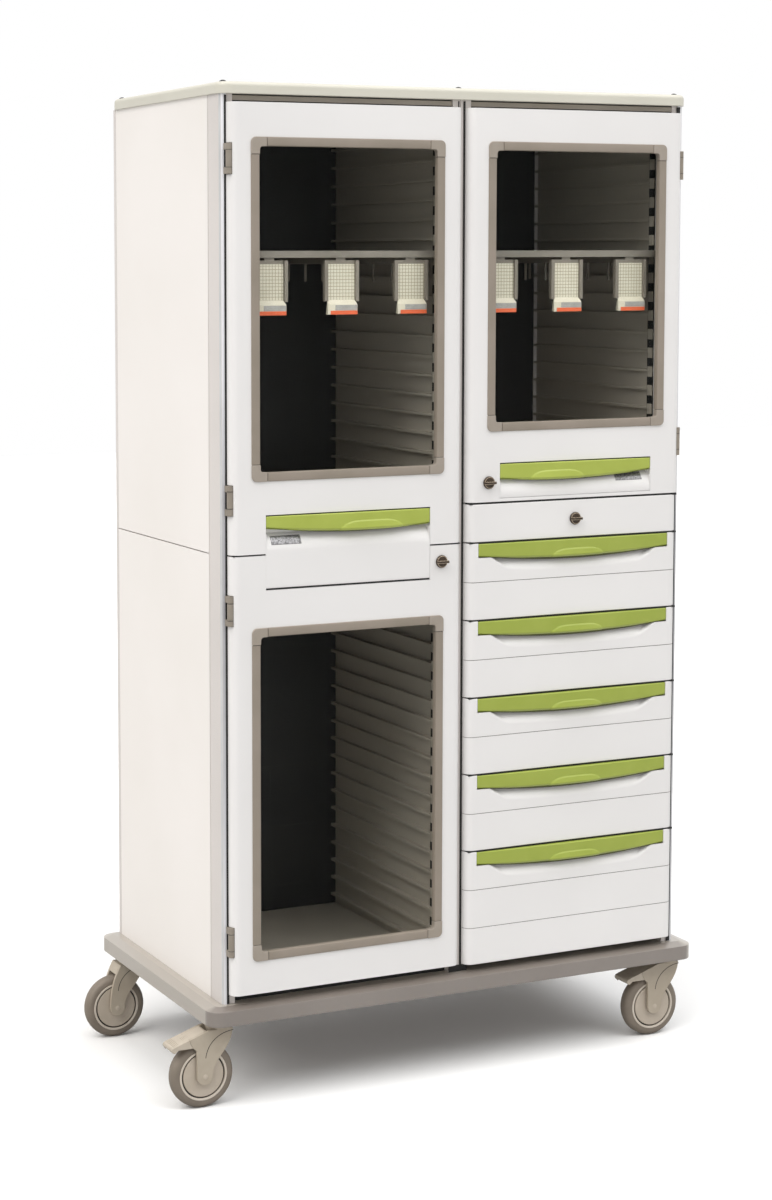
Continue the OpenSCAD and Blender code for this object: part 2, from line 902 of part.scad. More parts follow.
// window heights, outside of the trim: upper left, lower left, right
upper_window = [joint_z + window_foot, door_top - window_head];
lower_window = [left_foot + window_head, joint_z - window_foot];
right_window = [right_foot + window_foot, door_top - window_head];

module handle_cut(x, z0, z1) {
    span([x - handle_w / 2, face_y - eps, z0], [x + handle_w / 2, eps, z1]);
}

module left_upper_leaf() {
    color("#e6e5e3")
        difference() {
            front_slab(-door_x, door_w, joint_z + half_gap, door_top);
            window_hole(-door_x, upper_window[0], upper_window[1]);
            handle_cut(-door_x, joint_z - eps, left_handle_z + handle_h + insert_fit);
            for (z = left_hinges())
                at_hinge(-1, z)
                    hinge_room();
        }
}

module left_lower_leaf() {
    color("#e6e5e3")
        difference() {
            front_slab(-door_x, door_w, left_foot, joint_z - half_gap);
            window_hole(-door_x, lower_window[0], lower_window[1]);
            handle_cut(-door_x, joint_z - handle_skirt - 2 * insert_fit, joint_z + eps);
            for (z = left_hinges())
                at_hinge(-1, z)
                    hinge_room();
            lock_bore(-front_in - lock_in, left_lock_z);
        }
}

module right_leaf() {
    color("#e6e5e3")
        difference() {
            front_slab(door_x, door_w, right_foot, door_top);
            window_hole(door_x, right_window[0], right_window[1]);
            handle_cut(door_x, right_handle_z - insert_fit, right_handle_z + handle_h + insert_fit);
            for (z = right_hinges())
                at_hinge(1, z)
                    hinge_room();
            lock_bore(front_in + lock_in, right_lock_z);
        }
}

// trim: flat band on the door face, lip into the hole, scored at the corner pieces
module window_trim(x, z0, z1) {
    h = z1 - z0;
    in_w = hole_w - 2 * trim_lip;
    in_h = h - 2 * trim_band;
    lip_h = h - 2 * (trim_band - trim_lip);
    score = 0.8;
    color("#a39a8b")
        translate([x, face_y, (z0 + z1) / 2])
            rotate([90, 0, 0])
                difference() {
                    union() {
                        linear_extrude(trim_proud)
                            round_rect(trim_w, h, trim_r);
                        translate([0, 0, -trim_depth])
                            linear_extrude(trim_depth + eps)
                                square([hole_w - insert_fit, lip_h - insert_fit], center = true);
                    }
                    translate([0, 0, -trim_depth - eps])
                        linear_extrude(trim_depth + trim_proud + 2 * eps)
                            square([in_w, in_h], center = true);
                    for (sx = [-1, 1], sy = [-1, 1]) {
                        translate([sx * (trim_w / 2 - trim_corner), sy * (h - trim_band) / 2, trim_proud])
                            cube([score, trim_band + 2 * eps, score], center = true);
                        translate([sx * (trim_w - trim_band) / 2, sy * (h / 2 - trim_corner), trim_proud])
                            cube([trim_band + 2 * eps, score, score], center = true);
                    }
                }
}

module window_pane(x, z0, z1) {
    side = trim_band - trim_lip + insert_fit;
    y0 = face_y + trim_depth;
    color("#cfd8da", 0.35)
        span([x - hole_w / 2 + insert_fit, y0, z0 + side],
            [x + hole_w / 2 - insert_fit, y0 + pane_t, z1 - side]);
}

module left_window_trims() {
    window_trim(-door_x, upper_window[0], upper_window[1]);
    window_trim(-door_x, lower_window[0], lower_window[1]);
}

module left_panes() {
    window_pane(-door_x, upper_window[0], upper_window[1]);
    window_pane(-door_x, lower_window[0], lower_window[1]);
}

module right_window_trim() {
    window_trim(door_x, right_window[0], right_window[1]);
}

module right_pane() {
    window_pane(door_x, right_window[0], right_window[1]);
}

// plate with the finger recess; foot is its lower edge, z1 the top of the grip
module handle_plate(x, z0, foot, z1) {
    w = handle_w - 2 * insert_fit;
    color("#e2e2e1")
        difference() {
            union() {
                span([x - w / 2, face_y, z0], [x + w / 2, -post_gap + eps, z1]);
                span([x - w / 2 - plate_flange, -post_gap, z0 - plate_flange],
                    [x + w / 2 + plate_flange, -post_gap + flange_t, z1 + plate_flange]);
            }
            translate([x - w / 2 + recess_cheek, 0, 0])
                rotate([90, 0, 90])
                    linear_extrude(w - 2 * recess_cheek)
                        polygon([[face_y - eps, foot], [face_y, foot], [recess_y, foot + recess_ramp],
                            [recess_y, z1 - recess_head], [face_y - eps, z1 - recess_head]]);
            span([x - w / 2 - eps, face_y - eps, z1 - grip_h - grip_sag],
                [x + w / 2 + eps, grip_y, z1 + eps]);
        }
}

// outline of a grip seen from the front: straight top at y = 0, curved lower edge
module grip_outline(w, h, sag, low) {
    polygon(concat([[w / 2, 0], [-w / 2, 0]], sag_points(w, h, sag, low)));
}

// bar that bows forward in its middle
module grip_bar(x, w, h, sag, low, z1) {
    color("#a5b34b")
        translate([x, 0, z1 - insert_fit])
            intersection() {
                translate([0, 0, -h - sag])
                    linear_extrude(h + sag)
                        polygon(concat([[w / 2, grip_y], [-w / 2, grip_y]], bow_points(w)));
                rotate([90, 0, 0])
                    linear_extrude(6 * front_t, center = true)
                        grip_outline(w, h, sag, low);
            }
}

module door_grip(x, low, z1) {
    grip_bar(x, handle_w - 2 * insert_fit, grip_h, grip_sag, low, z1);
}

module left_handle_plate() {
    handle_plate(-door_x, joint_z - handle_skirt, left_handle_z, left_handle_z + handle_h);
}

module left_grip() {
    door_grip(-door_x, grip_low, left_handle_z + handle_h);
}

module right_handle_plate() {
    handle_plate(door_x, right_handle_z, right_handle_z + handle_foot, right_handle_z + handle_h);
}

module right_grip() {
    door_grip(door_x, -grip_low, right_handle_z + handle_h);
}

// drawer front: seat for the grip, finger scoop under and behind it, score lines
module drawer_front(i) {
    z0 = drawer_z(i);
    z1 = z0 + drawer_h(i);
    grip_foot = z1 - drawer_grip_h;
    scoop_z = grip_foot - scoop_h;
    color("#e6e5e3")
        difference() {
            front_slab(drawer_x, drawer_w, z0, z1);
            translate([drawer_x, grip_y, z1])
                rotate([90, 0, 0])
                    linear_extrude(grip_back + eps)
                        union() {
                            grip_outline(drawer_grip_w, drawer_grip_h + 2 * insert_fit, drawer_grip_sag, 0);
                            translate([-drawer_grip_w / 2, -drawer_grip_h])
                                square([drawer_grip_w, drawer_grip_h + eps]);
                        }
            intersection() {
                translate([drawer_x - scoop_top, 0, 0])
                    rotate([90, 0, 90])
                        linear_extrude(2 * scoop_top)
                            polygon([[face_y - eps, scoop_z], [face_y, scoop_z],
                                [scoop_y, grip_foot - scoop_lift], [scoop_y, z1 - scoop_head],
                                [face_y - eps, z1 - scoop_head]]);
                translate([drawer_x, 0, 0])
                    rotate([90, 0, 0])
                        linear_extrude(4 * front_t, center = true)
                            polygon([[-scoop_foot, scoop_z - eps], [scoop_foot, scoop_z - eps],
                                [scoop_top, grip_foot], [scoop_top, z1],
                                [-scoop_top, z1], [-scoop_top, grip_foot]]);
            }
            for (k = [1:drawer_units[i] - 1])
                span([front_in - eps, face_y - eps, z1 - k * unit - score_w / 2],
                    [drawer_out + eps, face_y + score_d, z1 - k * unit + score_w / 2]);
        }
}

module drawer_grip(i) {
    grip_bar(drawer_x, drawer_grip_w - 2 * insert_fit, drawer_grip_h, drawer_grip_sag, 0,
        drawer_z(i) + drawer_h(i));
}

// open box with a tongue on each side
module drawer_box(i) {
    z0 = drawer_z(i) + box_lift;
    z1 = drawer_z(i) + drawer_h(i) - box_drop;
    y1 = -post_gap + box_d;
    color("#cdc9c1")
        difference() {
            union() {
                span([bay_x - box_w / 2, -post_gap, z0], [bay_x + box_w / 2, y1, z1]);
                for (s = [-1, 1])
                    span([s > 0 ? bay_x : bay_x - box_w / 2 - tongue_w, y1 - tongue_l, z0 + tongue_lift],
                        [s > 0 ? bay_x + box_w / 2 + tongue_w : bay_x, y1, z0 + tongue_lift + tongue_h]);
            }
            span([bay_x - box_w / 2 + box_wall, -post_gap + box_wall, z0 + box_wall],
                [bay_x + box_w / 2 - box_wall, y1 - box_wall, z1 + eps]);
        }
}

// fixed channels that hold the box tongues
module drawer_runners() {
    color("#b7b4ae")
        for (i = [0:4], s = [-1, 1]) {
            z = drawer_z(i) + box_lift + tongue_lift;
            side = box_w / 2 + runner_gap;
            wall = s > 0 ? liner_out - bay_x : bay_x - liner_in;
            translate([bay_x, 0, 0])
                mirror([s > 0 ? 0 : 1, 0, 0])
                    difference() {
                        span([side, post_d, z - runner_wall],
                            [wall, rear_y - runner_rear, z + tongue_h + runner_wall]);
                        span([side - eps, post_d - eps, z - slide_fit],
                            [box_w / 2 + tongue_w + slide_fit, rear_y, z + tongue_h + slide_fit]);
                    }
        }
}

// outline of a fork arm about the wheel middle, swivel toward +X; a braked arm has an ear
// about the pedal hinge that ends flush with the pedal
module arm_outline(braked) {
    front_x = trail + crown_front;
    back_x = trail - crown_back;
    arm_steps = 14;
    union() {
        circle(arm_r);
        polygon(concat(
            bez([arm_r, 0], [arm_r * 0.87, crown_z * 0.36],
                [front_x * 0.95, crown_z * 0.52], [front_x, crown_z], arm_steps),
            bez([back_x, crown_z], [back_x - arm_r * 0.6, crown_z * 0.8],
                [-arm_r * 0.93, crown_z * 0.58], [-arm_r, 0], arm_steps)));
        if (braked)
            intersection() {
                translate([pedal_x, pedal_z])
                    circle(ear_r);
                polygon([[trail, pedal_z + pedal_r], [pedal_x, pedal_z + pedal_r], [knee_x, knee_z],
                    [knee_x, 0], [trail, 0]]);
            }
    }
}

// fork: two arms, a crown over the wheel with the arms' own outline, hub and stem above
module fork(braked) {
    crown_x = braked ? trail - crown_front : -trail;
    color("#c3b8a6")
        translate([-trail, 0, wheel_z])
            union() {
                for (s = [-1, 1])
                    translate([0, s * (arm_y + arm_t / 2), 0])
                        rotate([90, 0, 0])
                            linear_extrude(arm_t, center = true)
                                arm_outline(braked);
                rotate([90, 0, 0])
                    linear_extrude(2 * (arm_y + eps), center = true)
                        intersection() {
                            arm_outline(false);
                            translate([crown_x, wheel_r + tyre_room])
                                square(2 * wheel_r);
                        }
                translate([trail, 0, crown_z - eps])
                    cylinder(h = hub_top - wheel_z - crown_z + eps, r = hub_r);
                translate([trail, 0, crown_z])
                    cylinder(h = base_z - wheel_z - crown_z + stem_l, r = stem_r);
                rotate([90, 0, 0])
                    cylinder(h = 2 * (arm_y + eps), r = axle_r, center = true);
                if (braked)
                    translate([pedal_x, 0, pedal_z])
                        rotate([90, 0, 0])
                            cylinder(h = 2 * (arm_y + eps), r = pedal_pin_r, center = true);
            }
}

// wheel about its axle
module wheel() {
    rim_r = wheel_r - tyre_d;
    tyre_w = wheel_w - 2 * eps;
    tread_w = tyre_w - 2 * shoulder_r;
    disc_w = wheel_w - 2 * disc_step;
    bore_r = axle_r + run_fit;
    color("#7d756b")
        translate([-trail, 0, wheel_z])
            rotate([90, 0, 0])
                rotate_extrude()
                    union() {
                        translate([bore_r, -disc_w / 2])
                            square([rim_r - bore_r, disc_w]);
                        translate([rim_r - rim_ring, -wheel_w / 2])
                            square([rim_ring, wheel_w]);
                        translate([rim_r - eps, -tyre_w / 2])
                            square([tyre_d - shoulder_r + eps, tyre_w]);
                        translate([wheel_r - shoulder_r - eps, -tread_w / 2])
                            square([shoulder_r + eps, tread_w]);
                        for (s = [-1, 1])
                            intersection() {
                                translate([wheel_r - shoulder_r, s * tread_w / 2])
                                    circle(shoulder_r);
                                translate([wheel_r - shoulder_r - eps, s > 0 ? 0 : -wheel_w])
                                    square([wheel_r, wheel_w]);
                            }
                    }
}

// upper edge and tip of the pedal from the side, with the given lower edge
module pedal_outline(lower_edge) {
    tip = -pedal_l;
    polygon(concat([[pedal_x, pedal_z + pedal_r], [knee_x, knee_z], [tip + pedal_r, tip_z + pedal_r],
        [tip + eps, tip_z + pedal_r * 0.6], [tip, tip_z], [tip + eps, tip_z - pedal_r * 0.6],
        [tip + pedal_r, tip_z - pedal_r]], lower_edge));
}

// the part of an outline that lies past the fork ears
module past_ear() {
    difference() {
        children();
        translate([pedal_x, pedal_z])
            circle(ear_r + ear_gap);
    }
}

// brake pedal about the wheel middle: ribbed plate over the tyre, skirts in line with the arms
module pedal() {
    ribs = 3;
    rib_w = pedal_rib / 3;
    rib_x = -pedal_l + pedal_r + pedal_rib / 2;
    rise = (knee_z - tip_z - pedal_r) / (knee_x + pedal_l - pedal_r);
    skirt_z = wheel_r - skirt_drop;
    plate_edge = [[-0.76 * pedal_l, tip_z - eps], [-0.6 * pedal_l, tip_z + 4], [-0.3 * pedal_l, tip_z + 9],
        [pedal_x, pedal_z - pedal_r]];
    skirt_edge = [[-0.8 * pedal_l, skirt_z], [pedal_x, skirt_z]];
    color("#d3c9b8")
        translate([-trail, 0, wheel_z])
            difference() {
                union() {
                    translate([pedal_x, 0, pedal_z])
                        rotate([90, 0, 0])
                            cylinder(h = pedal_w, r = pedal_r, center = true);
                    rotate([90, 0, 0]) {
                        linear_extrude(pedal_w, center = true)
                            pedal_outline(plate_edge);
                        linear_extrude(2 * arm_y + arm_t, center = true)
                            past_ear()
                                pedal_outline(plate_edge);
                        for (s = [-1, 1])
                            translate([0, 0, s * (arm_y + arm_t / 2)])
                                linear_extrude(arm_t, center = true)
                                    past_ear()
                                        pedal_outline(skirt_edge);
                    }
                }
                translate([pedal_x, 0, pedal_z])
                    rotate([90, 0, 0])
                        cylinder(h = 2 * pedal_w, r = pedal_pin_r + run_fit, center = true);
                for (k = [0:ribs - 1])
                    translate([rib_x + k * pedal_rib, 0,
                        tip_z + pedal_r + (k + 0.5) * pedal_rib * rise])
                        cube([rib_w, pedal_w - pedal_rib, 2 * rib_w], center = true);
            }
}

module at_front_left() {
    translate([-swivel_x, front_swivel_y, 0])
        children();
}

module at_front_right() {
    translate([swivel_x, front_swivel_y, 0])
        children();
}

module at_rear_left() {
    translate([-swivel_x, rear_swivel_y, 0])
        children();
}

module at_rear_right() {
    translate([swivel_x, rear_swivel_y, 0])
        children();
}

module front_left_fork() {
    at_front_left()
        fork(true);
}

module front_left_wheel() {
    at_front_left()
        wheel();
}

module front_left_pedal() {
    at_front_left()
        pedal();
}

module front_right_fork() {
    at_front_right()
        fork(true);
}

module front_right_wheel() {
    at_front_right()
        wheel();
}

module front_right_pedal() {
    at_front_right()
        pedal();
}

module rear_left_fork() {
    at_rear_left()
        fork(false);
}

module rear_left_wheel() {
    at_rear_left()
        wheel();
}

module rear_right_fork() {
    at_rear_right()
        fork(false);
}

module rear_right_wheel() {
    at_rear_right()
        wheel();
}

module drawer_1_front() {
    drawer_front(0);
}

module drawer_1_grip() {
    drawer_grip(0);
}

module drawer_1_box() {
    drawer_box(0);
}

module drawer_2_front() {
    drawer_front(1);
}

module drawer_2_grip() {
    drawer_grip(1);
}

module drawer_2_box() {
    drawer_box(1);
}

module drawer_3_front() {
    drawer_front(2);
}

module drawer_3_grip() {
    drawer_grip(2);
}

module drawer_3_box() {
    drawer_box(2);
}

module drawer_4_front() {
    drawer_front(3);
}

module drawer_4_grip() {
    drawer_grip(3);
}

module drawer_4_box() {
    drawer_box(3);
}

module drawer_5_front() {
    drawer_front(4);
}

module drawer_5_grip() {
    drawer_grip(4);
}

module drawer_5_box() {
    drawer_box(4);
}

// moves the case so that the middle of the footprint is the origin
module placed() {
    translate([cab_x, cab_y, 0])
        children();
}

placed() base_tray();
placed() corner_posts();
placed() centre_post();
placed() side_panels();
placed() back_panels();
placed() centre_partition();
placed() top_panel();
placed() top_caps();
placed() header_rails();
placed() bay_liners();
placed() bay_decks();
placed() shelves();
placed() catheter_slides();
placed() slide_tags();
placed() lock_panel();
placed() hinge_frame_leaves();
placed() drawer_runners();
placed() left_upper_leaf();
placed() left_lower_leaf();
placed() left_window_trims();
placed() left_panes();
placed() left_handle_plate();
placed() left_grip();
placed() left_hinge_leaves();
placed() left_lock();
placed() right_leaf();
placed() right_window_trim();
placed() right_pane();
placed() right_handle_plate();
placed() right_grip();
placed() right_hinge_leaves();
placed() right_lock();
placed() drawer_lock();
placed() drawer_1_front();
placed() drawer_1_grip();
placed() drawer_1_box();
placed() drawer_2_front();
placed() drawer_2_grip();
placed() drawer_2_box();
placed() drawer_3_front();
placed() drawer_3_grip();
placed() drawer_3_box();
placed() drawer_4_front();
placed() drawer_4_grip();
placed() drawer_4_box();
placed() drawer_5_front();
placed() drawer_5_grip();
placed() drawer_5_box();
placed() front_left_fork();
placed() front_left_wheel();
placed() front_left_pedal();
placed() front_right_fork();
placed() front_right_wheel();
placed() front_right_pedal();
placed() rear_left_fork();
placed() rear_left_wheel();
placed() rear_right_fork();
placed() rear_right_wheel();
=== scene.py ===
"""Looks of the catheter supply cabinet: pieces, finishes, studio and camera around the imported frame.

Everything is in metres in the frame's own axes: +Z up, -Y toward the front, +X to the right.
"""
import json
import math

import bmesh
import bpy
from mathutils import Matrix, Vector


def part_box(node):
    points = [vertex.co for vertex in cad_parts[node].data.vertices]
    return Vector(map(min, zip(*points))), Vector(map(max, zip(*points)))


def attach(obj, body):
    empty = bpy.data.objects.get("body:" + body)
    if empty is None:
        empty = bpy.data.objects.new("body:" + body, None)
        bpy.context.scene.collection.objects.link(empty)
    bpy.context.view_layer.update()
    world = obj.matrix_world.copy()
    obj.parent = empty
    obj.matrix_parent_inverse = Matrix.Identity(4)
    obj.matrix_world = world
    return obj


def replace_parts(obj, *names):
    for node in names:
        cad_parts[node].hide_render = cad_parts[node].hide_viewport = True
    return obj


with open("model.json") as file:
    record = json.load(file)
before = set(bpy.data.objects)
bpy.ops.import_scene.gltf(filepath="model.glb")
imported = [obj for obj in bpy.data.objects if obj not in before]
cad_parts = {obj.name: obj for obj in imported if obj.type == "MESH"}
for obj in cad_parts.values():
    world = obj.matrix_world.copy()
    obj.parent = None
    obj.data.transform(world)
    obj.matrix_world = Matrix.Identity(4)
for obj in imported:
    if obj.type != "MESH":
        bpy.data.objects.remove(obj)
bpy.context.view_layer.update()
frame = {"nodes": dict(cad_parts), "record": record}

MM = 0.001
SIDES = (-1, 1)


# Colours and finishes

def srgb(red, green, blue):
    """Linear colour of 8-bit display values."""
    def linear(value):
        value = value / 255
        return value / 12.92 if value <= 0.04045 else ((value + 0.055) / 1.055) ** 2.4
    return (linear(red), linear(green), linear(blue), 1.0)


def set_sockets(node, values):
    """Constants on a node's sockets, with _ for a space in their names."""
    for name, value in values.items():
        node.inputs[name.replace("_", " ")].default_value = value


class Finish:
    """A node material: clouds of two close 8-bit tones, grain in gloss and relief, edges softened in mm."""

    def __init__(self, name, dark, light, rough, cloud=2.5, edge=0.0, grain=700.0, bump=0.03):
        self.material = bpy.data.materials.new(name)
        self.material.use_nodes = True
        self.nodes = self.material.node_tree.nodes
        self.link = self.material.node_tree.links.new
        self.shader = self.nodes["Principled BSDF"]
        self.place = self.node("TexCoord").outputs["Object"]
        tones = self.node("ValToRGB")
        for stop, position, tone in zip(tones.color_ramp.elements, (0.35, 0.65), (dark, light)):
            stop.position = position
            stop.color = srgb(*tone)
        self.link(self.noise(cloud, 3.0), tones.inputs["Fac"])
        self.colour = tones.outputs["Color"]
        self.link(self.colour, self.shader.inputs["Base Color"])
        fine = self.noise(grain, 2.0)
        self.link(self.spread(fine, rough - 0.05, rough + 0.05), self.shader.inputs["Roughness"])
        self.relief = self.node("Bump", Strength=bump, Distance=MM)
        self.link(fine, self.relief.inputs["Height"])
        self.link(self.relief.outputs["Normal"], self.shader.inputs["Normal"])
        if edge > 0:
            self.soften(edge * MM)

    def node(self, kind, **values):
        """New shader node with constants on its sockets."""
        node = self.nodes.new(f"ShaderNode{kind}")
        set_sockets(node, values)
        return node

    def noise(self, scale, detail):
        """Noise value on the object's own coordinates."""
        texture = self.node("TexNoise", Scale=scale, Detail=detail)
        self.link(self.place, texture.inputs["Vector"])
        return texture.outputs["Fac"]

    def spread(self, value, low, high):
        """Noise value spread over a range."""
        node = self.node("MapRange", From_Min=0.3, From_Max=0.7, To_Min=low, To_Max=high)
        self.link(value, node.inputs["Value"])
        return node.outputs["Result"]

    def soften(self, radius):
        """Rounded look of the sharp edges."""
        bevel = self.node("Bevel", Radius=radius)
        bevel.samples = 4
        self.link(bevel.outputs["Normal"], self.relief.inputs["Normal"])

    def blended(self, mode):
        """Sockets of a new mix node on the base colour."""
        node = self.node("Mix")
        node.data_type = "RGBA"
        node.blend_type = mode
        self.link(self.colour, node.inputs["A"])
        self.colour = node.outputs["Result"]
        self.link(self.colour, self.shader.inputs["Base Color"])
        return node.inputs

    def mix(self, factor, colour):
        """Mixes another colour into the base colour by a factor socket."""
        sockets = self.blended("MIX")
        sockets["B"].default_value = colour
        self.link(factor, sockets["Factor"])

    def by_height(self, tones):
        """Shades the base colour by tones given at heights in metres."""
        top = tones[-1][0]
        split = self.node("SeparateXYZ")
        share = self.node("MapRange", From_Max=top)
        ramp = self.node("ValToRGB")
        stops = ramp.color_ramp.elements
        while len(stops) < len(tones):
            stops.new(1.0)
        for stop, (height, tone) in zip(stops, tones):
            stop.position = height / top
            stop.color = tone
        self.link(self.place, split.inputs["Vector"])
        self.link(split.outputs["Z"], share.inputs["Value"])
        self.link(share.outputs["Result"], ramp.inputs["Fac"])
        sockets = self.blended("MULTIPLY")
        sockets["Factor"].default_value = 1.0
        self.link(ramp.outputs["Color"], sockets["B"])

    def set(self, **values):
        """Constants on the shader's own sockets."""
        set_sockets(self.shader, values)

    def for_rays(self, kind, other):
        """Shows another shader to one kind of ray."""
        rays = self.node("LightPath")
        choice = self.node("MixShader")
        self.link(rays.outputs[kind], choice.inputs["Fac"])
        self.link(self.shader.outputs["BSDF"], choice.inputs[1])
        self.link(other.outputs["BSDF"], choice.inputs[2])
        self.link(choice.outputs["Shader"], self.nodes["Material Output"].inputs["Surface"])
        return self


def grid_factor(finish, cell, line):
    """Factor that is 1 on the lines of a square grid on an upright face."""
    turn = finish.node("Mapping", Rotation=(math.radians(90), 0, 0))
    bricks = finish.node("TexBrick", Scale=1.0, Mortar_Size=line, Mortar_Smooth=0.3,
                         Brick_Width=cell, Row_Height=cell)
    bricks.offset = 0.0
    finish.link(finish.place, turn.inputs["Vector"])
    finish.link(turn.outputs["Vector"], bricks.inputs["Vector"])
    return bricks.outputs["Fac"]


def painted_sheen_factor(finish):
    """Factor that grows toward faces seen at a low angle, used for a painted sheen."""
    weight = finish.node("LayerWeight", Blend=0.5)
    share = finish.node("MapRange", From_Min=0.47, From_Max=0.65)
    finish.link(weight.outputs["Facing"], share.inputs["Value"])
    return share.outputs["Result"]


# painted light and shade on the bright strip beside the doors, as tones by height in metres
STRIP_PAINTED_LIGHT = tuple((height, srgb(tone, tone, tone + 3)) for height, tone in (
    (0.2, 228), (0.46, 220), (0.65, 204), (0.84, 186), (1.05, 184), (1.22, 207), (1.41, 241), (1.9, 252)))

# name, dark tone, light tone, roughness, cloud scale, softened edge in mm: first those of the slots
TONES = (
    ("panel_white", (240, 235, 230), (244, 239, 235), 0.42, 2.5, 1.0),
    ("base_taupe", (122, 113, 106), (129, 120, 113), 0.4, 6, 2.0),
    ("post_metal", (212, 206, 202), (218, 212, 208), 0.32, 2.5, 0.8),
    ("back_black", (26, 25, 25), (33, 32, 31), 0.38, 8),
    ("liner_beige", (170, 160, 146), (180, 171, 157), 0.5, 2.5, 0.8),
    ("slide_taupe", (122, 113, 101), (131, 122, 110), 0.45, 2.5, 0.6),
    ("tag_cream", (204, 195, 174), (211, 202, 182), 0.55, 30),
    ("front_grey", (232, 230, 229), (236, 234, 233), 0.38, 2.5, 0.8),
    ("hinge_metal", (136, 127, 115), (146, 137, 125), 0.4, 40, 0.8),
    ("runner_steel", (176, 175, 172), (188, 187, 184), 0.3, 20, 0.5),
    ("trim_taupe", (141, 131, 118), (149, 138, 126), 0.42, 12, 1.0),
    ("grip_green", (163, 176, 69), (170, 183, 77), 0.36, 14),
    ("lock_bronze", (56, 46, 38), (76, 64, 53), 0.3, 120),
    ("box_grey", (200, 197, 190), (208, 205, 199), 0.5, 2.5, 0.8),
    ("fork_beige", (174, 162, 145), (182, 171, 154), 0.4, 25, 0.8),
    ("tyre_grey", (122, 112, 100), (131, 120, 108), 0.55, 30),
    ("pedal_beige", (184, 173, 157), (192, 181, 165), 0.42, 25, 0.8),
    ("top_cream", (206, 203, 190), (212, 209, 196), 0.4, 4, 2.0),
    ("header_taupe", (157, 149, 137), (165, 157, 145), 0.45, 8, 1.0),
    ("shelf_taupe", (120, 112, 101), (128, 120, 109), 0.45, 10, 1.0),
    # painted shade of the post's corner rounding
    ("post_groove_painted_shade", (194, 195, 196), (203, 204, 205), 0.4, 20),
    # painted highlight of the strip beside the doors
    ("post_painted_highlight", (243, 243, 244), (247, 247, 248), 0.2, 20),
    ("trim_corner", (154, 144, 132), (161, 151, 140), 0.45, 25),
    ("wheel_disc", (186, 174, 158), (194, 182, 167), 0.42, 25),
    ("wheel_ring", (204, 194, 180), (211, 201, 188), 0.4, 25),
    # painted shade of grooves and joints
    ("painted_crease_shade", (48, 43, 39), (58, 53, 48), 0.6, 40),
    ("tag_grid", (206, 197, 176), (212, 204, 184), 0.55, 30),
    ("label_grey", (150, 146, 140), (166, 162, 156), 0.5, 60),
    ("label_orange", (214, 92, 50), (222, 102, 58), 0.45, 60),
    ("name_plate", (96, 95, 96), (160, 159, 160), 0.35, 320),
    # painted highlights on the lock knobs
    ("lock_painted_highlight", (176, 160, 140), (196, 180, 160), 0.25, 150),
    ("grip_olive", (152, 166, 62), (159, 172, 70), 0.36, 14),
    # painted shadow under the grips
    ("grip_painted_shadow", (70, 73, 36), (82, 85, 44), 0.6, 30),
    # painted shade in the score grooves
    ("score_painted_shade", (112, 108, 104), (124, 120, 116), 0.5, 40),
    # painted shade: the black of gaps, seams and slots
    ("painted_shade_black", (20, 19, 18), (26, 25, 24), 0.7, 30),
)
PLAIN_BUMP = 0.03
BUMPS = {"lock_bronze": 0.1, "tyre_grey": 0.08}
METALLIC = {"runner_steel": 0.9, "lock_bronze": 0.6, "lock_painted_highlight": 0.9, "name_plate": 0.5}
GRID_LINE = 0.6 * MM


def glazing_finish():
    """Clear glazing that lets light through without a dark shadow, with faint smears in its gloss."""
    finish = Finish("glazing", (240, 244, 244), (250, 252, 252), 0.06, grain=40, bump=0.0)
    finish.set(Transmission_Weight=1.0, IOR=1.1)
    return finish.for_rays("Is Shadow Ray", finish.node("BsdfTransparent"))


def make_finishes():
    """One finish per material slot of the record, and the few that only single pieces have."""
    made = {row[0]: Finish(*row, bump=BUMPS.get(row[0], PLAIN_BUMP)) for row in TONES}
    made["glazing"] = glazing_finish()
    for name, share in METALLIC.items():
        made[name].set(Metallic=share)
    for name in ("grip_green", "grip_olive"):
        made[name].set(Coat_Weight=0.15)
    base, tag, back = made["base_taupe"], made["tag_grid"], made["back_black"]
    base.set(Coat_Weight=1.0, Coat_Roughness=0.3, Coat_IOR=1.7)
    # painted light: the base is made lighter on faces seen at a low angle, its sides, as if lit more there
    base.mix(painted_sheen_factor(base), srgb(170, 162, 151))
    tag.mix(grid_factor(tag, 6.4 * MM, GRID_LINE), srgb(150, 140, 118))
    back.mix(grid_factor(back, 130 * MM, GRID_LINE), srgb(58, 57, 56))
    # painted highlight on the strip beside the doors, with painted shade by height
    made["post_painted_highlight"].by_height(STRIP_PAINTED_LIGHT)
    return {name: finish.material for name, finish in made.items()}


FINISHES = make_finishes()
OWN_FINISH = {"top_panel": "top_cream", "header_rails": "header_taupe", "shelves": "shelf_taupe"}


def dress_nodes():
    """Gives every CAD node the finish of its slot, or its own."""
    for subpart in frame["record"]["subparts"]:
        node = subpart["node"]
        mesh = frame["nodes"][node].data
        mesh.materials.clear()
        mesh.materials.append(FINISHES[OWN_FINISH.get(node, subpart["material_slot"])])


# Mesh making

def clamped(value):
    return min(1.0, max(0.0, value))


def smooth_step(value):
    value = clamped(value)
    return value * value * (3 - 2 * value)


def in_mm(points):
    return [(a * MM, b * MM) for a, b in points]


def placed(points, across, along, flip=1):
    """Points of an outline moved to a place, mirrored across where flip is -1."""
    return [(across + flip * a, along + b) for a, b in points]


def round_off(distance, radius):
    """How far a face rounded by radius falls back at a distance from its edge."""
    short = radius - min(radius, max(0.0, distance))
    return radius - math.sqrt(radius * radius - short * short)


def spaced(start, end, step, extra=()):
    """Even values from start to end with extra values put in, in order."""
    count = max(1, round((end - start) / step))
    values = [start + (end - start) * i / count for i in range(count + 1)]
    values += [v for v in extra if start < v < end]
    return sorted(set(round(v, 6) for v in values))


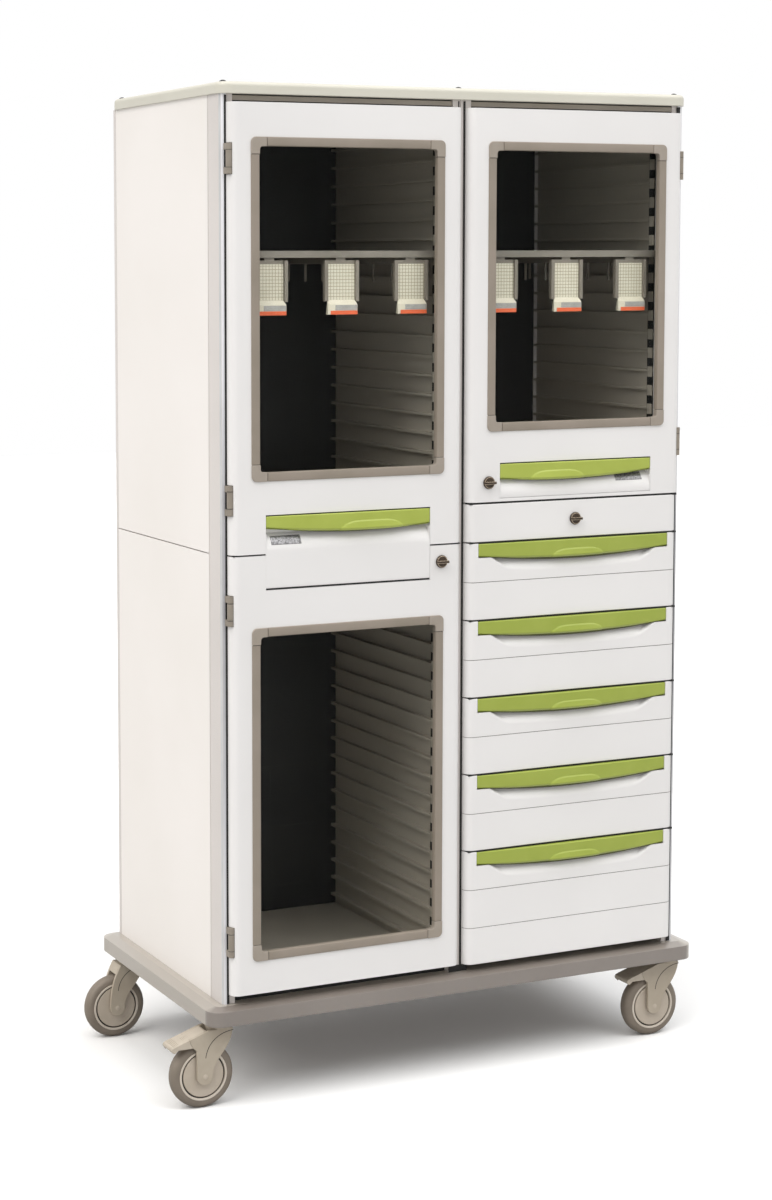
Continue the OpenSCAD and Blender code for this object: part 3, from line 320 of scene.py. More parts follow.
def edged(start, end, step, insets, extra=()):
    """Even values from start to end, with close ones inside both ends and extra values put in."""
    return spaced(start, end, step, [start + d for d in insets] + [end - d for d in insets] + list(extra))


def bezier(a, b, c, d, steps):
    """Points of a cubic curve in the plane."""
    points = []
    for i in range(steps + 1):
        t = i / steps
        s = 1 - t
        weights = (s ** 3, 3 * s * s * t, 3 * s * t * t, t ** 3)
        points.append(tuple(sum(w * p[k] for w, p in zip(weights, (a, b, c, d))) for k in (0, 1)))
    return points


def arc(centre, radius, start, end, steps):
    """Points of an arc in the plane, angles in degrees."""
    angles = [math.radians(start + (end - start) * i / steps) for i in range(steps + 1)]
    return [(centre[0] + radius * math.cos(a), centre[1] + radius * math.sin(a)) for a in angles]


def add_object(name, data):
    """New object in the scene."""
    obj = bpy.data.objects.new(name, data)
    bpy.context.scene.collection.objects.link(obj)
    return obj


def span(node):
    """Corners of a node's box, with its middle and half width along X."""
    low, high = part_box(node)
    return low, high, (low.x + high.x) / 2, (high.x - low.x) / 2


class Shape:
    """Gathers the vertices and faces of one piece; prisms and lathes point along Y."""

    def __init__(self):
        self.verts = []
        self.faces = []

    def add(self, verts, faces):
        base = len(self.verts)
        self.verts += [tuple(v) for v in verts]
        self.faces += [tuple(base + i for i in face) for face in faces]

    def relief(self, columns, rows, front, back):
        """Closed sheet: front gives a point for each column and row, back is the y of its rear."""
        across = len(columns)
        down = len(rows)
        points = [front(c, r) for r in rows for c in columns]
        faces = [(j * across + i, j * across + i + 1, (j + 1) * across + i + 1, (j + 1) * across + i)
                 for j in range(down - 1) for i in range(across - 1)]
        rim = list(range(across))
        rim += [j * across + across - 1 for j in range(1, down)]
        rim += [(down - 1) * across + i for i in range(across - 2, -1, -1)]
        rim += [j * across for j in range(down - 2, 0, -1)]
        base = len(points)
        points += [(points[i][0], back, points[i][2]) for i in rim]
        count = len(rim)
        faces += [(rim[k], base + k, base + (k + 1) % count, rim[(k + 1) % count]) for k in range(count)]
        faces.append(tuple(base + k for k in range(count)))
        self.add(points, faces)

    def loft(self, first, second):
        """Closed body between two rings with as many points each."""
        count = len(first)
        faces = [(i, (i + 1) % count, count + (i + 1) % count, count + i) for i in range(count)]
        faces += [tuple(range(count - 1, -1, -1)), tuple(range(count, 2 * count))]
        self.add(first + second, faces)

    def prism(self, outline, near, far):
        """Outline of (x, z) points between two y values."""
        self.loft([(x, near, z) for x, z in outline], [(x, far, z) for x, z in outline])

    def column(self, outline, low, high):
        """Outline of (x, y) points between two heights."""
        self.loft([(x, y, low) for x, y in outline], [(x, y, high) for x, y in outline])

    def box(self, low, high):
        corners = [(low[0], low[2]), (high[0], low[2]), (high[0], high[2]), (low[0], high[2])]
        self.prism(corners, low[1], high[1])

    def lathe(self, profile, centre, turns=64, axis="y"):
        """Profile of (radius, distance) points turned about an axis through the centre."""
        count = len(profile)
        points = []
        for k in range(turns):
            angle = 2 * math.pi * k / turns
            for radius, along in profile:
                a, b = radius * math.cos(angle), radius * math.sin(angle)
                offset = (a, along, b) if axis == "y" else (a, b, along)
                points.append(tuple(centre[i] + offset[i] for i in range(3)))
        faces = []
        for k in range(turns):
            here, there = k * count, (k + 1) % turns * count
            for i in range(count - 1):
                faces.append((here + i, here + i + 1, there + i + 1, there + i))
        if profile[0][0] > 0 and profile[0] != profile[-1]:
            faces.append(tuple(k * count for k in range(turns)))
            faces.append(tuple(k * count + count - 1 for k in range(turns - 1, -1, -1)))
        self.add(points, faces)

    def piece(self, name, body, slot, finish=None, bevel=0.0, sharp=35.0):
        """Makes the object, rides it on its body and gives it its finish."""
        mesh = bpy.data.meshes.new(name)
        mesh.from_pydata(self.verts, [], self.faces)
        mesh.validate()
        mesh.materials.append(FINISHES[finish or slot])
        obj = add_object(name, mesh)
        clean_up(mesh)
        mesh.shade_smooth()
        mesh.set_sharp_from_angle(angle=math.radians(sharp))
        if bevel > 0:
            rounding = obj.modifiers.new("rounding", "BEVEL")
            rounding.width = bevel
            rounding.segments = 3
            rounding.limit_method = "ANGLE"
            rounding.angle_limit = math.radians(40)
            rounding.harden_normals = True
        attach(obj, body)
        return obj


def clean_up(mesh):
    """Merges doubled points and turns all faces outward."""
    work = bmesh.new()
    work.from_mesh(mesh)
    bmesh.ops.remove_doubles(work, verts=work.verts, dist=0.02 * MM)
    bmesh.ops.recalc_face_normals(work, faces=work.faces)
    work.to_mesh(mesh)
    work.free()


# Places in the case

MIDDLE = span("centre_post")[2]
POST_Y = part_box("corner_posts")[0].y
BASE_TOP, CASE_TOP = (corner.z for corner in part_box("corner_posts"))


def in_case(x, y, z):
    """Point from the middle of the case and the front of the posts in millimetres, at z in metres."""
    return (MIDDLE + x * MM, POST_Y + y * MM, z)


# Painted shade in the gaps

def make_painted_gap_shade():
    """Black strips between fronts and posts and at the head and the foot of the bays, and a dark shoe at the
    centre post's foot, all painted shade in the gaps.
    """
    shape = Shape()
    head_low, head_high = (corner.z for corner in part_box("header_rails"))
    head_gap, foot_h, post_h = 3.4 * MM, 8 * MM, 13 * MM
    post_half, bay_end = 20, 481
    # start and end of the upright dark strips along X
    for x0, x1 in ((-498.5, -494), (-8, -6), (3.8, 7.4), (491.6, 499.3)):
        shape.box(in_case(x0, -1.3, BASE_TOP + 1 * MM), in_case(x1, 0.2, head_high))
    # start and end of the bays, and how far back their foot strips lie
    for x0, x1, back in ((-bay_end, -post_half, 16), (post_half, bay_end, 27)):
        for low, high in ((head_low - head_gap, head_low), (head_high, CASE_TOP)):
            shape.box(in_case(x0, 4, low), in_case(x1, 6, high))
        shape.box(in_case(x0, back, BASE_TOP), in_case(x1, back + 2, BASE_TOP + foot_h))
    shape.box(in_case(-post_half, -0.9, BASE_TOP), in_case(post_half, 0.3, BASE_TOP + post_h))
    shape.piece("case_gap_shade", "cabinet", "back_black", "painted_shade_black")


# Fronts and grips

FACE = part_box("right_leaf")[0].y
FRONT_R = 16 * MM
GRIP_BACK = 7 * MM
EDGE_R = 1.2 * MM
SEAT_PLAY = 0.2 * MM
DRAWERS = [f"drawer_{i}" for i in range(1, 6)]


def bowed_grip(node, body, finish, end_h, sag, low, crescent, top_gap, shadow_h):
    """Green grip: bowed bar with a curved lower edge, a raised thumb crescent and a dark band under it that is
    a painted shadow.

    crescent is (middle from the grip's middle, half width, top under the grip's top edge, lift).
    """
    _, high, middle, half = span(node)
    top = high.z - top_gap
    bow, top_r, end_r, foot_h, foot_in = 7.2 * MM, 1.8 * MM, 1.5 * MM, 4.5 * MM, 5.0 * MM
    thumb_x, thumb_half, thumb_top, thumb_lift = crescent
    rim_w, rim_end, rim_share = 2.5 * MM, 0.06, 0.35
    shadow_rise = 1.5 * MM

    def height(x):
        t = (x - low) / (half + abs(low))
        return end_h + sag * (1 - t * t) - top_gap

    def point(x, v):
        tall = height(x)
        down = v * tall
        y = FACE - bow * (1 - (x / half) ** 2)
        y += round_off(down, top_r) + foot_in * max(0.0, 1 - (tall - down) / foot_h) ** 1.5
        y += round_off(half - abs(x), end_r)
        reach = abs(x - thumb_x) / thumb_half
        if reach < 1:
            start = thumb_top + (tall - thumb_top) * reach ** 5
            share = clamped((down - start) / (tall - foot_h - thumb_top))
            rim = smooth_step((down - start) / rim_w) * smooth_step((1 - reach) / rim_end)
            y -= thumb_lift * (rim_share * rim + (1 - rim_share) * share)
        return (middle + x, y, top - down)

    def under(x, v):
        share = 1 - (x / half) ** 2
        return (middle + x, FACE + (2 * v - share) * shadow_rise, top - height(x) + shadow_rise - v * shadow_h * share)

    edge = [s * (half - d * MM) for s in SIDES for d in (0.3, 0.8)]
    edge += [thumb_x + s * thumb_half * d for s in SIDES for d in (0.88, 0.94, 0.97, 0.985, 1.0)]
    columns = spaced(-half, half, 2.5 * MM, edge)
    bar, lip = Shape(), Shape()
    bar.relief(columns, spaced(0, 1, 0.03, [0.015, 0.045, 0.985]), point, high.y)
    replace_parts(bar.piece(f"{node}_bar", body, "grip_green", finish, sharp=50), node)
    # dark band under the grip's lower edge: painted shadow
    lip.relief(columns, spaced(0, 1, 0.25), under, high.y)
    lip.piece(f"{node}_bar_painted_shadow", body, "grip_green", "grip_painted_shadow")


def make_grips():
    """Door grips, lowest off their middle, and drawer grips."""
    thumb_top, lift = 15 * MM, 3.6 * MM
    for side, sign, thumb_half in (("left", 1, 70 * MM), ("right", -1, 63 * MM)):
        crescent = (sign * 46 * MM, thumb_half, thumb_top, lift)
        bowed_grip(f"{side}_grip", f"{side}_door", "grip_green", end_h=25 * MM, sag=10 * MM,
                   low=sign * 42 * MM, crescent=crescent, top_gap=1.2 * MM, shadow_h=4 * MM)
    crescent = (4 * MM, 62 * MM, thumb_top + 2 * MM, lift)
    for drawer in DRAWERS:
        bowed_grip(f"{drawer}_grip", drawer, "grip_olive", end_h=27 * MM, sag=7 * MM,
                   low=0.0, crescent=crescent, top_gap=0.4 * MM, shadow_h=6.5 * MM)


UNIT = 76.2 * MM
SCORE_HALF = 0.8 * MM
SCORE_D = 1.2 * MM
SCORE_LINE = 0.45 * MM


def scoop_depth(x, t, seat_h):
    """Depth of the finger scoop at x from the drawer's middle and t under its top."""
    top_half, foot_half, cheek = 190 * MM, 150 * MM, 9 * MM
    scoop_low, scoop_sag, scoop_d = 55 * MM, 5 * MM, 15 * MM
    half = top_half + (foot_half - top_half) * clamped((t - seat_h) / (scoop_low - seat_h))
    foot = scoop_low + scoop_sag * max(0.0, 1 - (x / foot_half) ** 2)
    ramp = smooth_step((foot - t) / (foot - 0.9 * seat_h))
    return scoop_d * ramp * smooth_step((half - abs(x)) / cheek)


def make_front(node, body, name, grip=None):
    """Front with rounded upright edges; a drawer also has a grip seat, a finger scoop and score lines."""
    low, high, middle, half_w = span(node)
    seat_h, fine_h = 28.2 * MM, 62 * MM
    seat_half = span(grip)[3] + 0.5 * MM if grip else 0.0
    scores = [UNIT * k for k in range(1, round((high.z - low.z) / UNIT))]

    def point(x, z):
        t = high.z - z
        depth = scoop_depth(x, t, seat_h) if grip else 0.0
        if t < seat_h and abs(x) < seat_half:
            depth = max(depth, GRIP_BACK + SEAT_PLAY)
        for line in scores:
            off = abs(t - line)
            if off < SCORE_HALF:
                depth = max(depth, SCORE_D * smooth_step((SCORE_HALF - off) / (SCORE_HALF / 2)))
        depth += round_off(half_w - abs(x), FRONT_R)
        depth += round_off(min(t, z - low.z), EDGE_R)
        return (middle + x, FACE + depth, z)

    def score_point(x, z):
        return (middle + x, FACE + SCORE_D / 2 + round_off(half_w - abs(x), FRONT_R), z)

    falls = [FRONT_R * (1 - math.cos(math.radians(a))) for a in range(10, 91, 10)]
    round_x = [s * (half_w - fall) for s in SIDES for fall in falls]
    seat_x = [s * (seat_half + d * MM) for s in SIDES for d in (-0.1, 0.1)]
    columns = spaced(-half_w, half_w, 4 * MM, round_x + seat_x)
    edge_z = [d * MM for d in (0.2, 0.5, 0.9, 1.3)]
    seat_z = [seat_h - 0.1 * MM, seat_h + 0.1 * MM]
    rows = [high.z - t for t in spaced(0, fine_h, 2 * MM, seat_z + edge_z)]
    rows += [high.z - line + s * d * MM for line in scores for s in SIDES for d in (0.4, 0.6, 0.8, 0.9)]
    rows += [low.z + d for d in edge_z] + spaced(low.z, high.z - fine_h, 10 * MM)
    shape, lines = Shape(), Shape()
    shape.relief(columns, sorted(set(round(z, 6) for z in rows)), point, high.y)
    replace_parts(shape.piece(f"{name}_face", body, "front_grey", sharp=40), node)
    # score lines: grey strips inside the grooves are painted shade
    for line in scores:
        lines.relief(columns, [high.z - line - SCORE_LINE, high.z - line + SCORE_LINE], score_point, high.y)
    if scores:
        lines.piece(f"{name}_scores", body, "front_grey", "score_painted_shade")


def make_top_gap_shade(node, body, name, height):
    """Black strip on the top edge of a front, painted shade in the gap under its neighbour."""
    low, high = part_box(node)
    shape = Shape()
    shape.box((low.x + 5 * MM, FACE + EDGE_R, high.z - 0.6 * MM), (high.x - 1 * MM, high.y, high.z + height))
    shape.piece(f"{name}_seal", body, "front_grey", "painted_shade_black", bevel=0.2 * MM)


def make_fronts():
    for drawer in DRAWERS:
        make_front(f"{drawer}_front", drawer, drawer, f"{drawer}_grip")
        make_top_gap_shade(f"{drawer}_front", drawer, drawer, 2.5 * MM)
    make_front("lock_panel", "cabinet", "lock_panel")
    make_top_gap_shade("lock_panel", "cabinet", "lock_panel", 3.4 * MM)


# Door handles

FLANGE = 8 * MM
FLANGE_T = 3 * MM
PLATE_LAP = 0.45 * MM
RECESS_D = 17 * MM
RECESS_RAMP = 34 * MM
# by door: foot of the recess under the grip's top, gap under the handle plate,
# and the name plate's distance from the plate's edge and its lower and upper end over the recess foot
RECESS_DROP = {"left": 67.5 * MM, "right": 60.5 * MM}
FOOT_GAP = {"left": 2.8 * MM, "right": 0.0}
NAME_PLATE = {"left": (12 * MM, 12 * MM, 28 * MM), "right": (268 * MM, 16 * MM, 31 * MM)}


def recess_depth(z, foot):
    """Depth of a handle's finger recess at a height over its foot."""
    share = clamped((z - foot) / RECESS_RAMP)
    return RECESS_D * share * share


def make_handle_plate(side, foot):
    """Handle plate with a smooth finger recess behind the grip, and its flange behind the door."""
    node = f"{side}_handle_plate"
    low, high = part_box(node)
    x0, x1 = low.x + FLANGE - PLATE_LAP, high.x - FLANGE
    z0, z1 = low.z + FLANGE + FOOT_GAP[side], high.z - FLANGE
    cheek, head, grip_room, edge_r = 1.5 * MM, 4 * MM, 35 * MM, 0.5 * MM
    back = high.y - FLANGE_T

    def point(x, z):
        depth = recess_depth(z, foot) if z < z1 - head else 0.0
        depth *= smooth_step((min(x - x0, x1 - x) - cheek) / edge_r + 1)
        if z > z1 - grip_room:
            depth = max(depth, GRIP_BACK + SEAT_PLAY)
        depth += round_off(min(z - z0, z1 - z), edge_r)
        return (x, FACE + depth, z)

    edge = [0.4 * edge_r, edge_r, cheek - edge_r, cheek - edge_r / 2, cheek]
    columns = edged(x0, x1, 8 * MM, edge)
    steps = [z1 - down + rise for down in (head, grip_room) for rise in (0.0, 0.1 * MM)]
    steps += spaced(foot, foot + RECESS_RAMP, 1 * MM)
    rows = edged(z0, z1, 6 * MM, edge[:2], steps)
    shape = Shape()
    shape.relief(columns, rows, point, back)
    shape.box((low.x, back, low.z), (high.x, high.y, high.z))
    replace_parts(shape.piece(f"{side}_handle_panel", f"{side}_door", "front_grey", sharp=40), node)


def make_handle_lines(side):
    """Dark strips, painted shade, in the gap under the plate and in the one over the grip."""
    low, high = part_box(f"{side}_handle_plate")
    x0, x1 = low.x + FLANGE, high.x - FLANGE
    shape = Shape()
    if FOOT_GAP[side] > 0:
        z0, lap = low.z + FLANGE, 0.5 * MM
        shape.box((x0, FACE + 1.5 * MM, z0 - lap), (x1, FACE + 4 * MM, z0 + FOOT_GAP[side] + lap))
    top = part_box(f"{side}_grip")[1].z
    shape.box((x0, FACE + 0.6 * MM, top - 2 * MM), (x1, FACE + 6 * MM, top + 0.6 * MM))
    shape.piece(f"{side}_handle_lines", f"{side}_door", "front_grey", "painted_shade_black")


def make_name_plate(side, foot):
    """Blank name plate that lies on the back of the finger recess."""
    from_edge, low_end, high_end = NAME_PLATE[side]
    x0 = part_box(f"{side}_handle_plate")[0].x + FLANGE + from_edge
    low_z, high_z = foot + low_end, foot + high_end
    width, proud, edge_r = 62 * MM, 0.8 * MM, 0.6 * MM

    def point(x, z):
        rim = round_off(min(x - x0, x0 + width - x, z - low_z, high_z - z), edge_r)
        return (x, FACE + recess_depth(z, foot) - proud + rim, z)

    edge = [edge_r / 3, edge_r]
    columns = edged(x0, x0 + width, 8 * MM, edge)
    rows = edged(low_z, high_z, 2 * MM, edge)
    shape = Shape()
    shape.relief(columns, rows, point, FACE + RECESS_D + 0.4 * MM)
    shape.piece(f"{side}_name_plate", f"{side}_door", "front_grey", "name_plate")


def make_handles():
    """Handle plates of both doors, then their dark lines and name plates."""
    feet = {side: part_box(f"{side}_grip")[1].z - drop for side, drop in RECESS_DROP.items()}
    for side, foot in feet.items():
        make_handle_plate(side, foot)
    for side in feet:
        make_handle_lines(side)
    for side, foot in feet.items():
        make_name_plate(side, foot)


# Door joints

def make_leaf_joint():
    """Dark strip in the joint between the two leaves of the left door, painted shade in the gap."""
    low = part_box("left_lower_leaf")[1]
    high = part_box("left_upper_leaf")[0]
    seam = (low.z + high.z) / 2
    half = 1 * MM
    shape = Shape()
    shape.box((high.x + 4 * MM, FACE + 2 * MM, seam - half), (low.x - 2 * MM, FACE + 9 * MM, seam + half))
    shape.piece("left_leaf_joint", "left_door", "front_grey", "painted_shade_black", bevel=0.2 * MM)


def make_hinge_joints():
    """Dark rings between the knuckles of the hinges, painted shade in the joints."""
    from_end, knuckle, barrel_x, barrel_y = 103 * MM, 16 * MM, 494, -12
    ring = in_mm([(5.5, -0.5), (6.1, -0.5), (6.1, 0.5), (5.5, 0.5), (5.5, -0.5)])
    shape = Shape()
    for node, side in (("left_lower_leaf", -1), ("left_upper_leaf", -1), ("right_leaf", 1)):
        low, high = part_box(node)
        for middle in (low.z + from_end, high.z - from_end):
            for s in SIDES:
                shape.lathe(ring, in_case(side * barrel_x, barrel_y, middle + s * knuckle), 24, "z")
    shape.piece("hinge_joints", "cabinet", "hinge_metal", "painted_crease_shade")


# Window trims

TRIM_BAND = 17 * MM
TRIM_PROUD = 3 * MM
TRIM_DEPTH = 9 * MM
TRIM_CORNER = 32 * MM
TRIM_R = 10 * MM


def trim_bar(shape, start, end, upright):
    """Straight trim bar with a domed face; start and end are its outer corners (x, z) at the lower left."""
    shoulder, dome = 1.0 * MM, 0.9 * MM
    section = [(0.0, TRIM_DEPTH), (0.0, -shoulder)]
    section += [(TRIM_BAND * t, -TRIM_PROUD + dome * (2 * t - 1) ** 4) for t in (0.06, 0.2, 0.5, 0.8, 0.94)]
    section += [(TRIM_BAND, -shoulder), (TRIM_BAND, TRIM_DEPTH)]
    if upright:
        ends = [[(x + across, FACE + deep, z) for across, deep in section] for x, z in (start, end)]
    else:
        ends = [[(x, FACE + deep, z + across) for across, deep in section] for x, z in (start, end)]
    shape.loft(*ends)


def trim_corner(shape, x, z, sx, sz):
    """L-shaped corner piece at an outer corner of the window; sx and sz point into the window."""
    band = TRIM_BAND + 0.6 * MM
    reach = TRIM_CORNER - 0.5 * MM
    inner_r = 6 * MM
    turn = arc((TRIM_R, TRIM_R), TRIM_R, 270, 180, 6)
    inner = arc((band + inner_r, band + inner_r), inner_r, 180, 270, 6)
    outline = [(reach, 0.0)] + turn + [(0.0, reach), (band, reach)] + inner + [(reach, band)]
    outline = [(x + sx * a, z + sz * b) for a, b in outline]
    shape.prism(outline, FACE - TRIM_PROUD - 0.4 * MM, FACE + TRIM_DEPTH)


def trim_joints(shape, x, z, sx, sz):
    """Dark backing of the two joints at a corner piece, painted shade in the gaps."""
    half, inset = 1 * MM, 1 * MM
    along = (TRIM_CORNER - half, TRIM_CORNER + half)
    across = (inset, TRIM_BAND - inset)
    for reach_x, reach_z in ((along, across), (across, along)):
        x0, x1 = sorted(x + sx * d for d in reach_x)
        z0, z1 = sorted(z + sz * d for d in reach_z)
        shape.box((x0, FACE - TRIM_PROUD + 1.4 * MM, z0), (x1, FACE + TRIM_DEPTH - inset, z1))


def make_trim(name, node, body, low, high):
    """Trim around one window, outer box from low to high (x, z)."""
    bars, corners, joints = Shape(), Shape(), Shape()
    x0, z0 = low
    x1, z1 = high
    start = TRIM_CORNER + 0.4 * MM
    for z in (z0, z1 - TRIM_BAND):
        trim_bar(bars, (x0 + start, z), (x1 - start, z), False)
    for x in (x0, x1 - TRIM_BAND):
        trim_bar(bars, (x, z0 + start), (x, z1 - start), True)
    for x, sx in ((x0, 1), (x1, -1)):
        for z, sz in ((z0, 1), (z1, -1)):
            trim_corner(corners, x, z, sx, sz)
            trim_joints(joints, x, z, sx, sz)
    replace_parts(bars.piece(f"{name}_bars", body, "trim_taupe"), node)
    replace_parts(corners.piece(f"{name}_corners", body, "trim_taupe", "trim_corner", bevel=1.2 * MM), node)
    # dark joint backing: painted shade
    joints.piece(f"{name}_joints", body, "trim_taupe", "painted_crease_shade")


def make_trims():
    low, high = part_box("left_window_trims")
    seam = (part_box("left_upper_leaf")[0].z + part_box("left_lower_leaf")[1].z) / 2
    foot = 137 * MM
    make_trim("left_upper_trim", "left_window_trims", "left_door", (low.x, seam + foot), (high.x, high.z))
    make_trim("left_lower_trim", "left_window_trims", "left_door", (low.x, low.z), (high.x, seam - foot))
    low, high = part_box("right_window_trim")
    make_trim("right_trim", "right_window_trim", "right_door", (low.x, low.z), (high.x, high.z))


# Locks

KNOB_R = 12.5 * MM


def make_lock(lock):
    """Thumb turn: dark disc with a bright ring, fin with bright edges, shaft and cam; the bright ring and
    edges are painted highlights.
    """
    low, high, x, _ = span(lock)
    z = high.z - KNOB_R
    face = FACE - 0.5 * MM
    front = face - 4 * MM
    shaft_r, cam_half, cam_t = 6 * MM, 5 * MM, 3 * MM
    fin_x, fin_top, fin_half, edge_half = 12.4 * MM, 4 * MM, 1.8 * MM, 2.5 * MM
    dark, bright = Shape(), Shape()
    knob = [(0.0, front), (KNOB_R - 2.2 * MM, front), (KNOB_R - 1.2 * MM, front + 0.8 * MM),
            (KNOB_R, front + 2 * MM), (KNOB_R, face), (shaft_r, face), (shaft_r, high.y), (0.0, high.y)]
    dark.lathe(knob, (x, 0, z), 48)
    dark.box((x - cam_half, high.y - cam_t, low.z), (x + cam_half, high.y, z))
    # bright ring and fin edges: painted highlights
    inner, outer = KNOB_R - 2.4 * MM, KNOB_R - 1.4 * MM
    near, far = front - 0.4 * MM, front + 0.3 * MM
    bright.lathe([(inner, far), (inner, near), (outer, near), (outer, far), (inner, far)], (x, 0, z), 48)
    profile = bezier((-fin_x, front), (-fin_x, low.y), (-fin_x, low.y), (-fin_top, low.y), 6)
    profile += bezier((fin_top, low.y), (fin_x, low.y), (fin_x, low.y), (fin_x, front), 6)
    dark.column([(x + a, y) for a, y in profile], z - fin_half, z + fin_half)
    for s in SIDES:
        edge = sorted((z + s * (fin_half - 0.2 * MM), z + s * edge_half))
        bright.column([(x + a * 0.98, y + 0.3 * MM) for a, y in profile], *edge)
    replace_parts(dark.piece(f"{lock}_knob", lock, "lock_bronze", bevel=0.3 * MM), lock)
    bright.piece(f"{lock}_edges", lock, "lock_bronze", "lock_painted_highlight", bevel=0.2 * MM)


# Posts

def make_posts():
    """Painted front posts with a corner groove whose grey band is painted shade, a bright strip beside the
    door that is a painted highlight shaded by height, and plain rear posts.
    """
    low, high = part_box("corner_posts")
    width, deep, rear = 27 * MM, 55 * MM, 12 * MM
    corner, groove, strip, inlay = 9 * MM, 1.6 * MM, 14 * MM, 1 * MM
    groove_proud, strip_proud = 0.12 * MM, 0.15 * MM
    turn = (corner, corner)
    front = [(0.0, deep), (0.0, deep - 2 * MM), (groove, deep - 2.6 * MM), (groove, deep - 4.4 * MM),
             (0.0, deep - 5 * MM), (0.0, corner)]
    front += arc(turn, corner, 180, 270, 10)
    front += [(strip, 0.0), (strip, groove), (width, groove), (width, deep)]
    back = [(0.0, 0.0), (0.0, -rear), (width, -rear), (width, 0.0)]
    dark = arc(turn, corner + groove_proud, 208, 232, 5) + arc(turn, corner - inlay, 232, 208, 5)
    light = arc(turn, corner + strip_proud, 236, 270, 6)
    light += [(strip, -strip_proud), (strip, inlay), (corner, inlay)]
    shape, grooves, strips = Shape(), Shape(), Shape()
    for s in SIDES:
        outer = high.x if s > 0 else low.x
        shape.column(placed(front, outer, low.y, -s), low.z, high.z)
        shape.column(placed(back, outer, high.y, -s), low.z, high.z)
        grooves.column(placed(dark, outer, low.y, -s), low.z, high.z)
        strips.column(placed(light, outer, low.y, -s), low.z, high.z)
    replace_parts(shape.piece("corner_profiles", "cabinet", "post_metal", bevel=0.4 * MM), "corner_posts")
    # grey band on the corner rounding: painted shade
    grooves.piece("corner_groove_shade", "cabinet", "post_metal", "post_groove_painted_shade")
    # bright strip beside the door: painted highlight, shaded by height
    strips.piece("corner_highlight_strips", "cabinet", "post_metal", "post_painted_highlight")
    make_centre_post(deep, groove)


def centre_outline(half, deep, groove, open_side):
    """Outline of the centre post from the middle of its face; open_side has the slot of a lock cam."""
    near, far, inward = 5 * MM, 14 * MM, 10 * MM
    line, mouth, floor = 3.2 * MM, 0.9 * MM, 0.6 * MM
    slot = [(half, near), (half - inward, near), (half - inward, far), (half, far)]
    face = [(-half, deep)]
    if open_side < 0:
        face += [(-x, y) for x, y in slot[::-1]]
    face.append((-half, 0.0))
    for s in SIDES:
        face += [(s * line - mouth, 0.0), (s * line - floor, groove),
                 (s * line + floor, groove), (s * line + mouth, 0.0)]
    face.append((half, 0.0))
    if open_side > 0:
        face += slot
    face.append((half, deep))
    return face


def make_centre_post(deep, groove):
    """Centre post with two face grooves and a slot for the cam of each door lock."""
    low, high, middle, half = span("centre_post")
    cam_low, cam_high = 26 * MM, 8 * MM
    shape = Shape()

    def stretch(start, end, open_side):
        outline = centre_outline(half, deep, groove, open_side)
        shape.column(placed(outline, middle, low.y), start, end)

    start = low.z
    for node, open_side in (("left_lock", -1), ("right_lock", 1)):
        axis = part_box(node)[1].z - KNOB_R
        stretch(start, axis - cam_low, 0)
        stretch(axis - cam_low, axis + cam_high, open_side)
        start = axis + cam_high
    stretch(start, high.z, 0)
    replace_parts(shape.piece("centre_profile", "cabinet", "post_metal"), "centre_post")


# Slides

SLIDE_PITCH = 149 * MM
TAG_HALF = 28.5 * MM
TAG_FOOT = 82 * MM


def slide_places():
    """Middle x and top z of each catheter slide, at the underside of its shelf."""
    low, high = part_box("catheter_slides")
    from_end = 36 * MM
    upper, lower = high.z, low.z + TAG_FOOT
    left = [low.x + from_end + k * SLIDE_PITCH for k in range(3)]
    right = [high.x - from_end - k * SLIDE_PITCH for k in range(3)]
    return [(x, upper) for x in left + right] + [(x, lower) for x in left]


def make_tags():
    """Gridded tags that flare into a blank label strip with an orange foot."""
    proud, near, far = 6 * MM, 1 * MM, 3 * MM
    shelf_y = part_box("slide_tags")[0].y + proud
    card_y, card_back = shelf_y - proud - 0.4 * MM, shelf_y - proud + 1 * MM
    wide = TAG_HALF + far
    plates, bodies, labels, strips = Shape(), Shape(), Shape(), Shape()
    # half width, y from the shelf's front and depth under the shelf of the flared foot
    flare = ((wide, far, 107 * MM), (wide, -proud, 107 * MM), (wide, -proud, 88 * MM),
             (TAG_HALF, near, 79 * MM), (TAG_HALF, far, 79 * MM))
    for x, z in slide_places():
        plates.box((x - TAG_HALF, shelf_y + near, z - TAG_FOOT), (x + TAG_HALF, shelf_y + far, z - 12 * MM))
        bodies.loft(*([(x + s * half, shelf_y + y, z - down) for half, y, down in flare] for s in SIDES))
        labels.box((x - wide + 16 * MM, card_y, z - 99 * MM), (x + wide - 1 * MM, card_back, z - 89 * MM))
        strips.box((x - wide + 6 * MM, card_y - 0.2 * MM, z - 107 * MM),
                   (x + wide - 0.5 * MM, card_back, z - 99.5 * MM))
    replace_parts(plates.piece("tag_plates", "cabinet", "tag_cream", "tag_grid", bevel=0.4 * MM), "slide_tags")
    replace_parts(bodies.piece("tag_feet", "cabinet", "tag_cream", bevel=0.8 * MM), "slide_tags")
    labels.piece("tag_labels", "cabinet", "tag_cream", "label_grey", bevel=0.2 * MM)
    strips.piece("tag_strips", "cabinet", "tag_cream", "label_orange", bevel=0.4 * MM)


# Liners

LADDER_PITCH = UNIT / 2


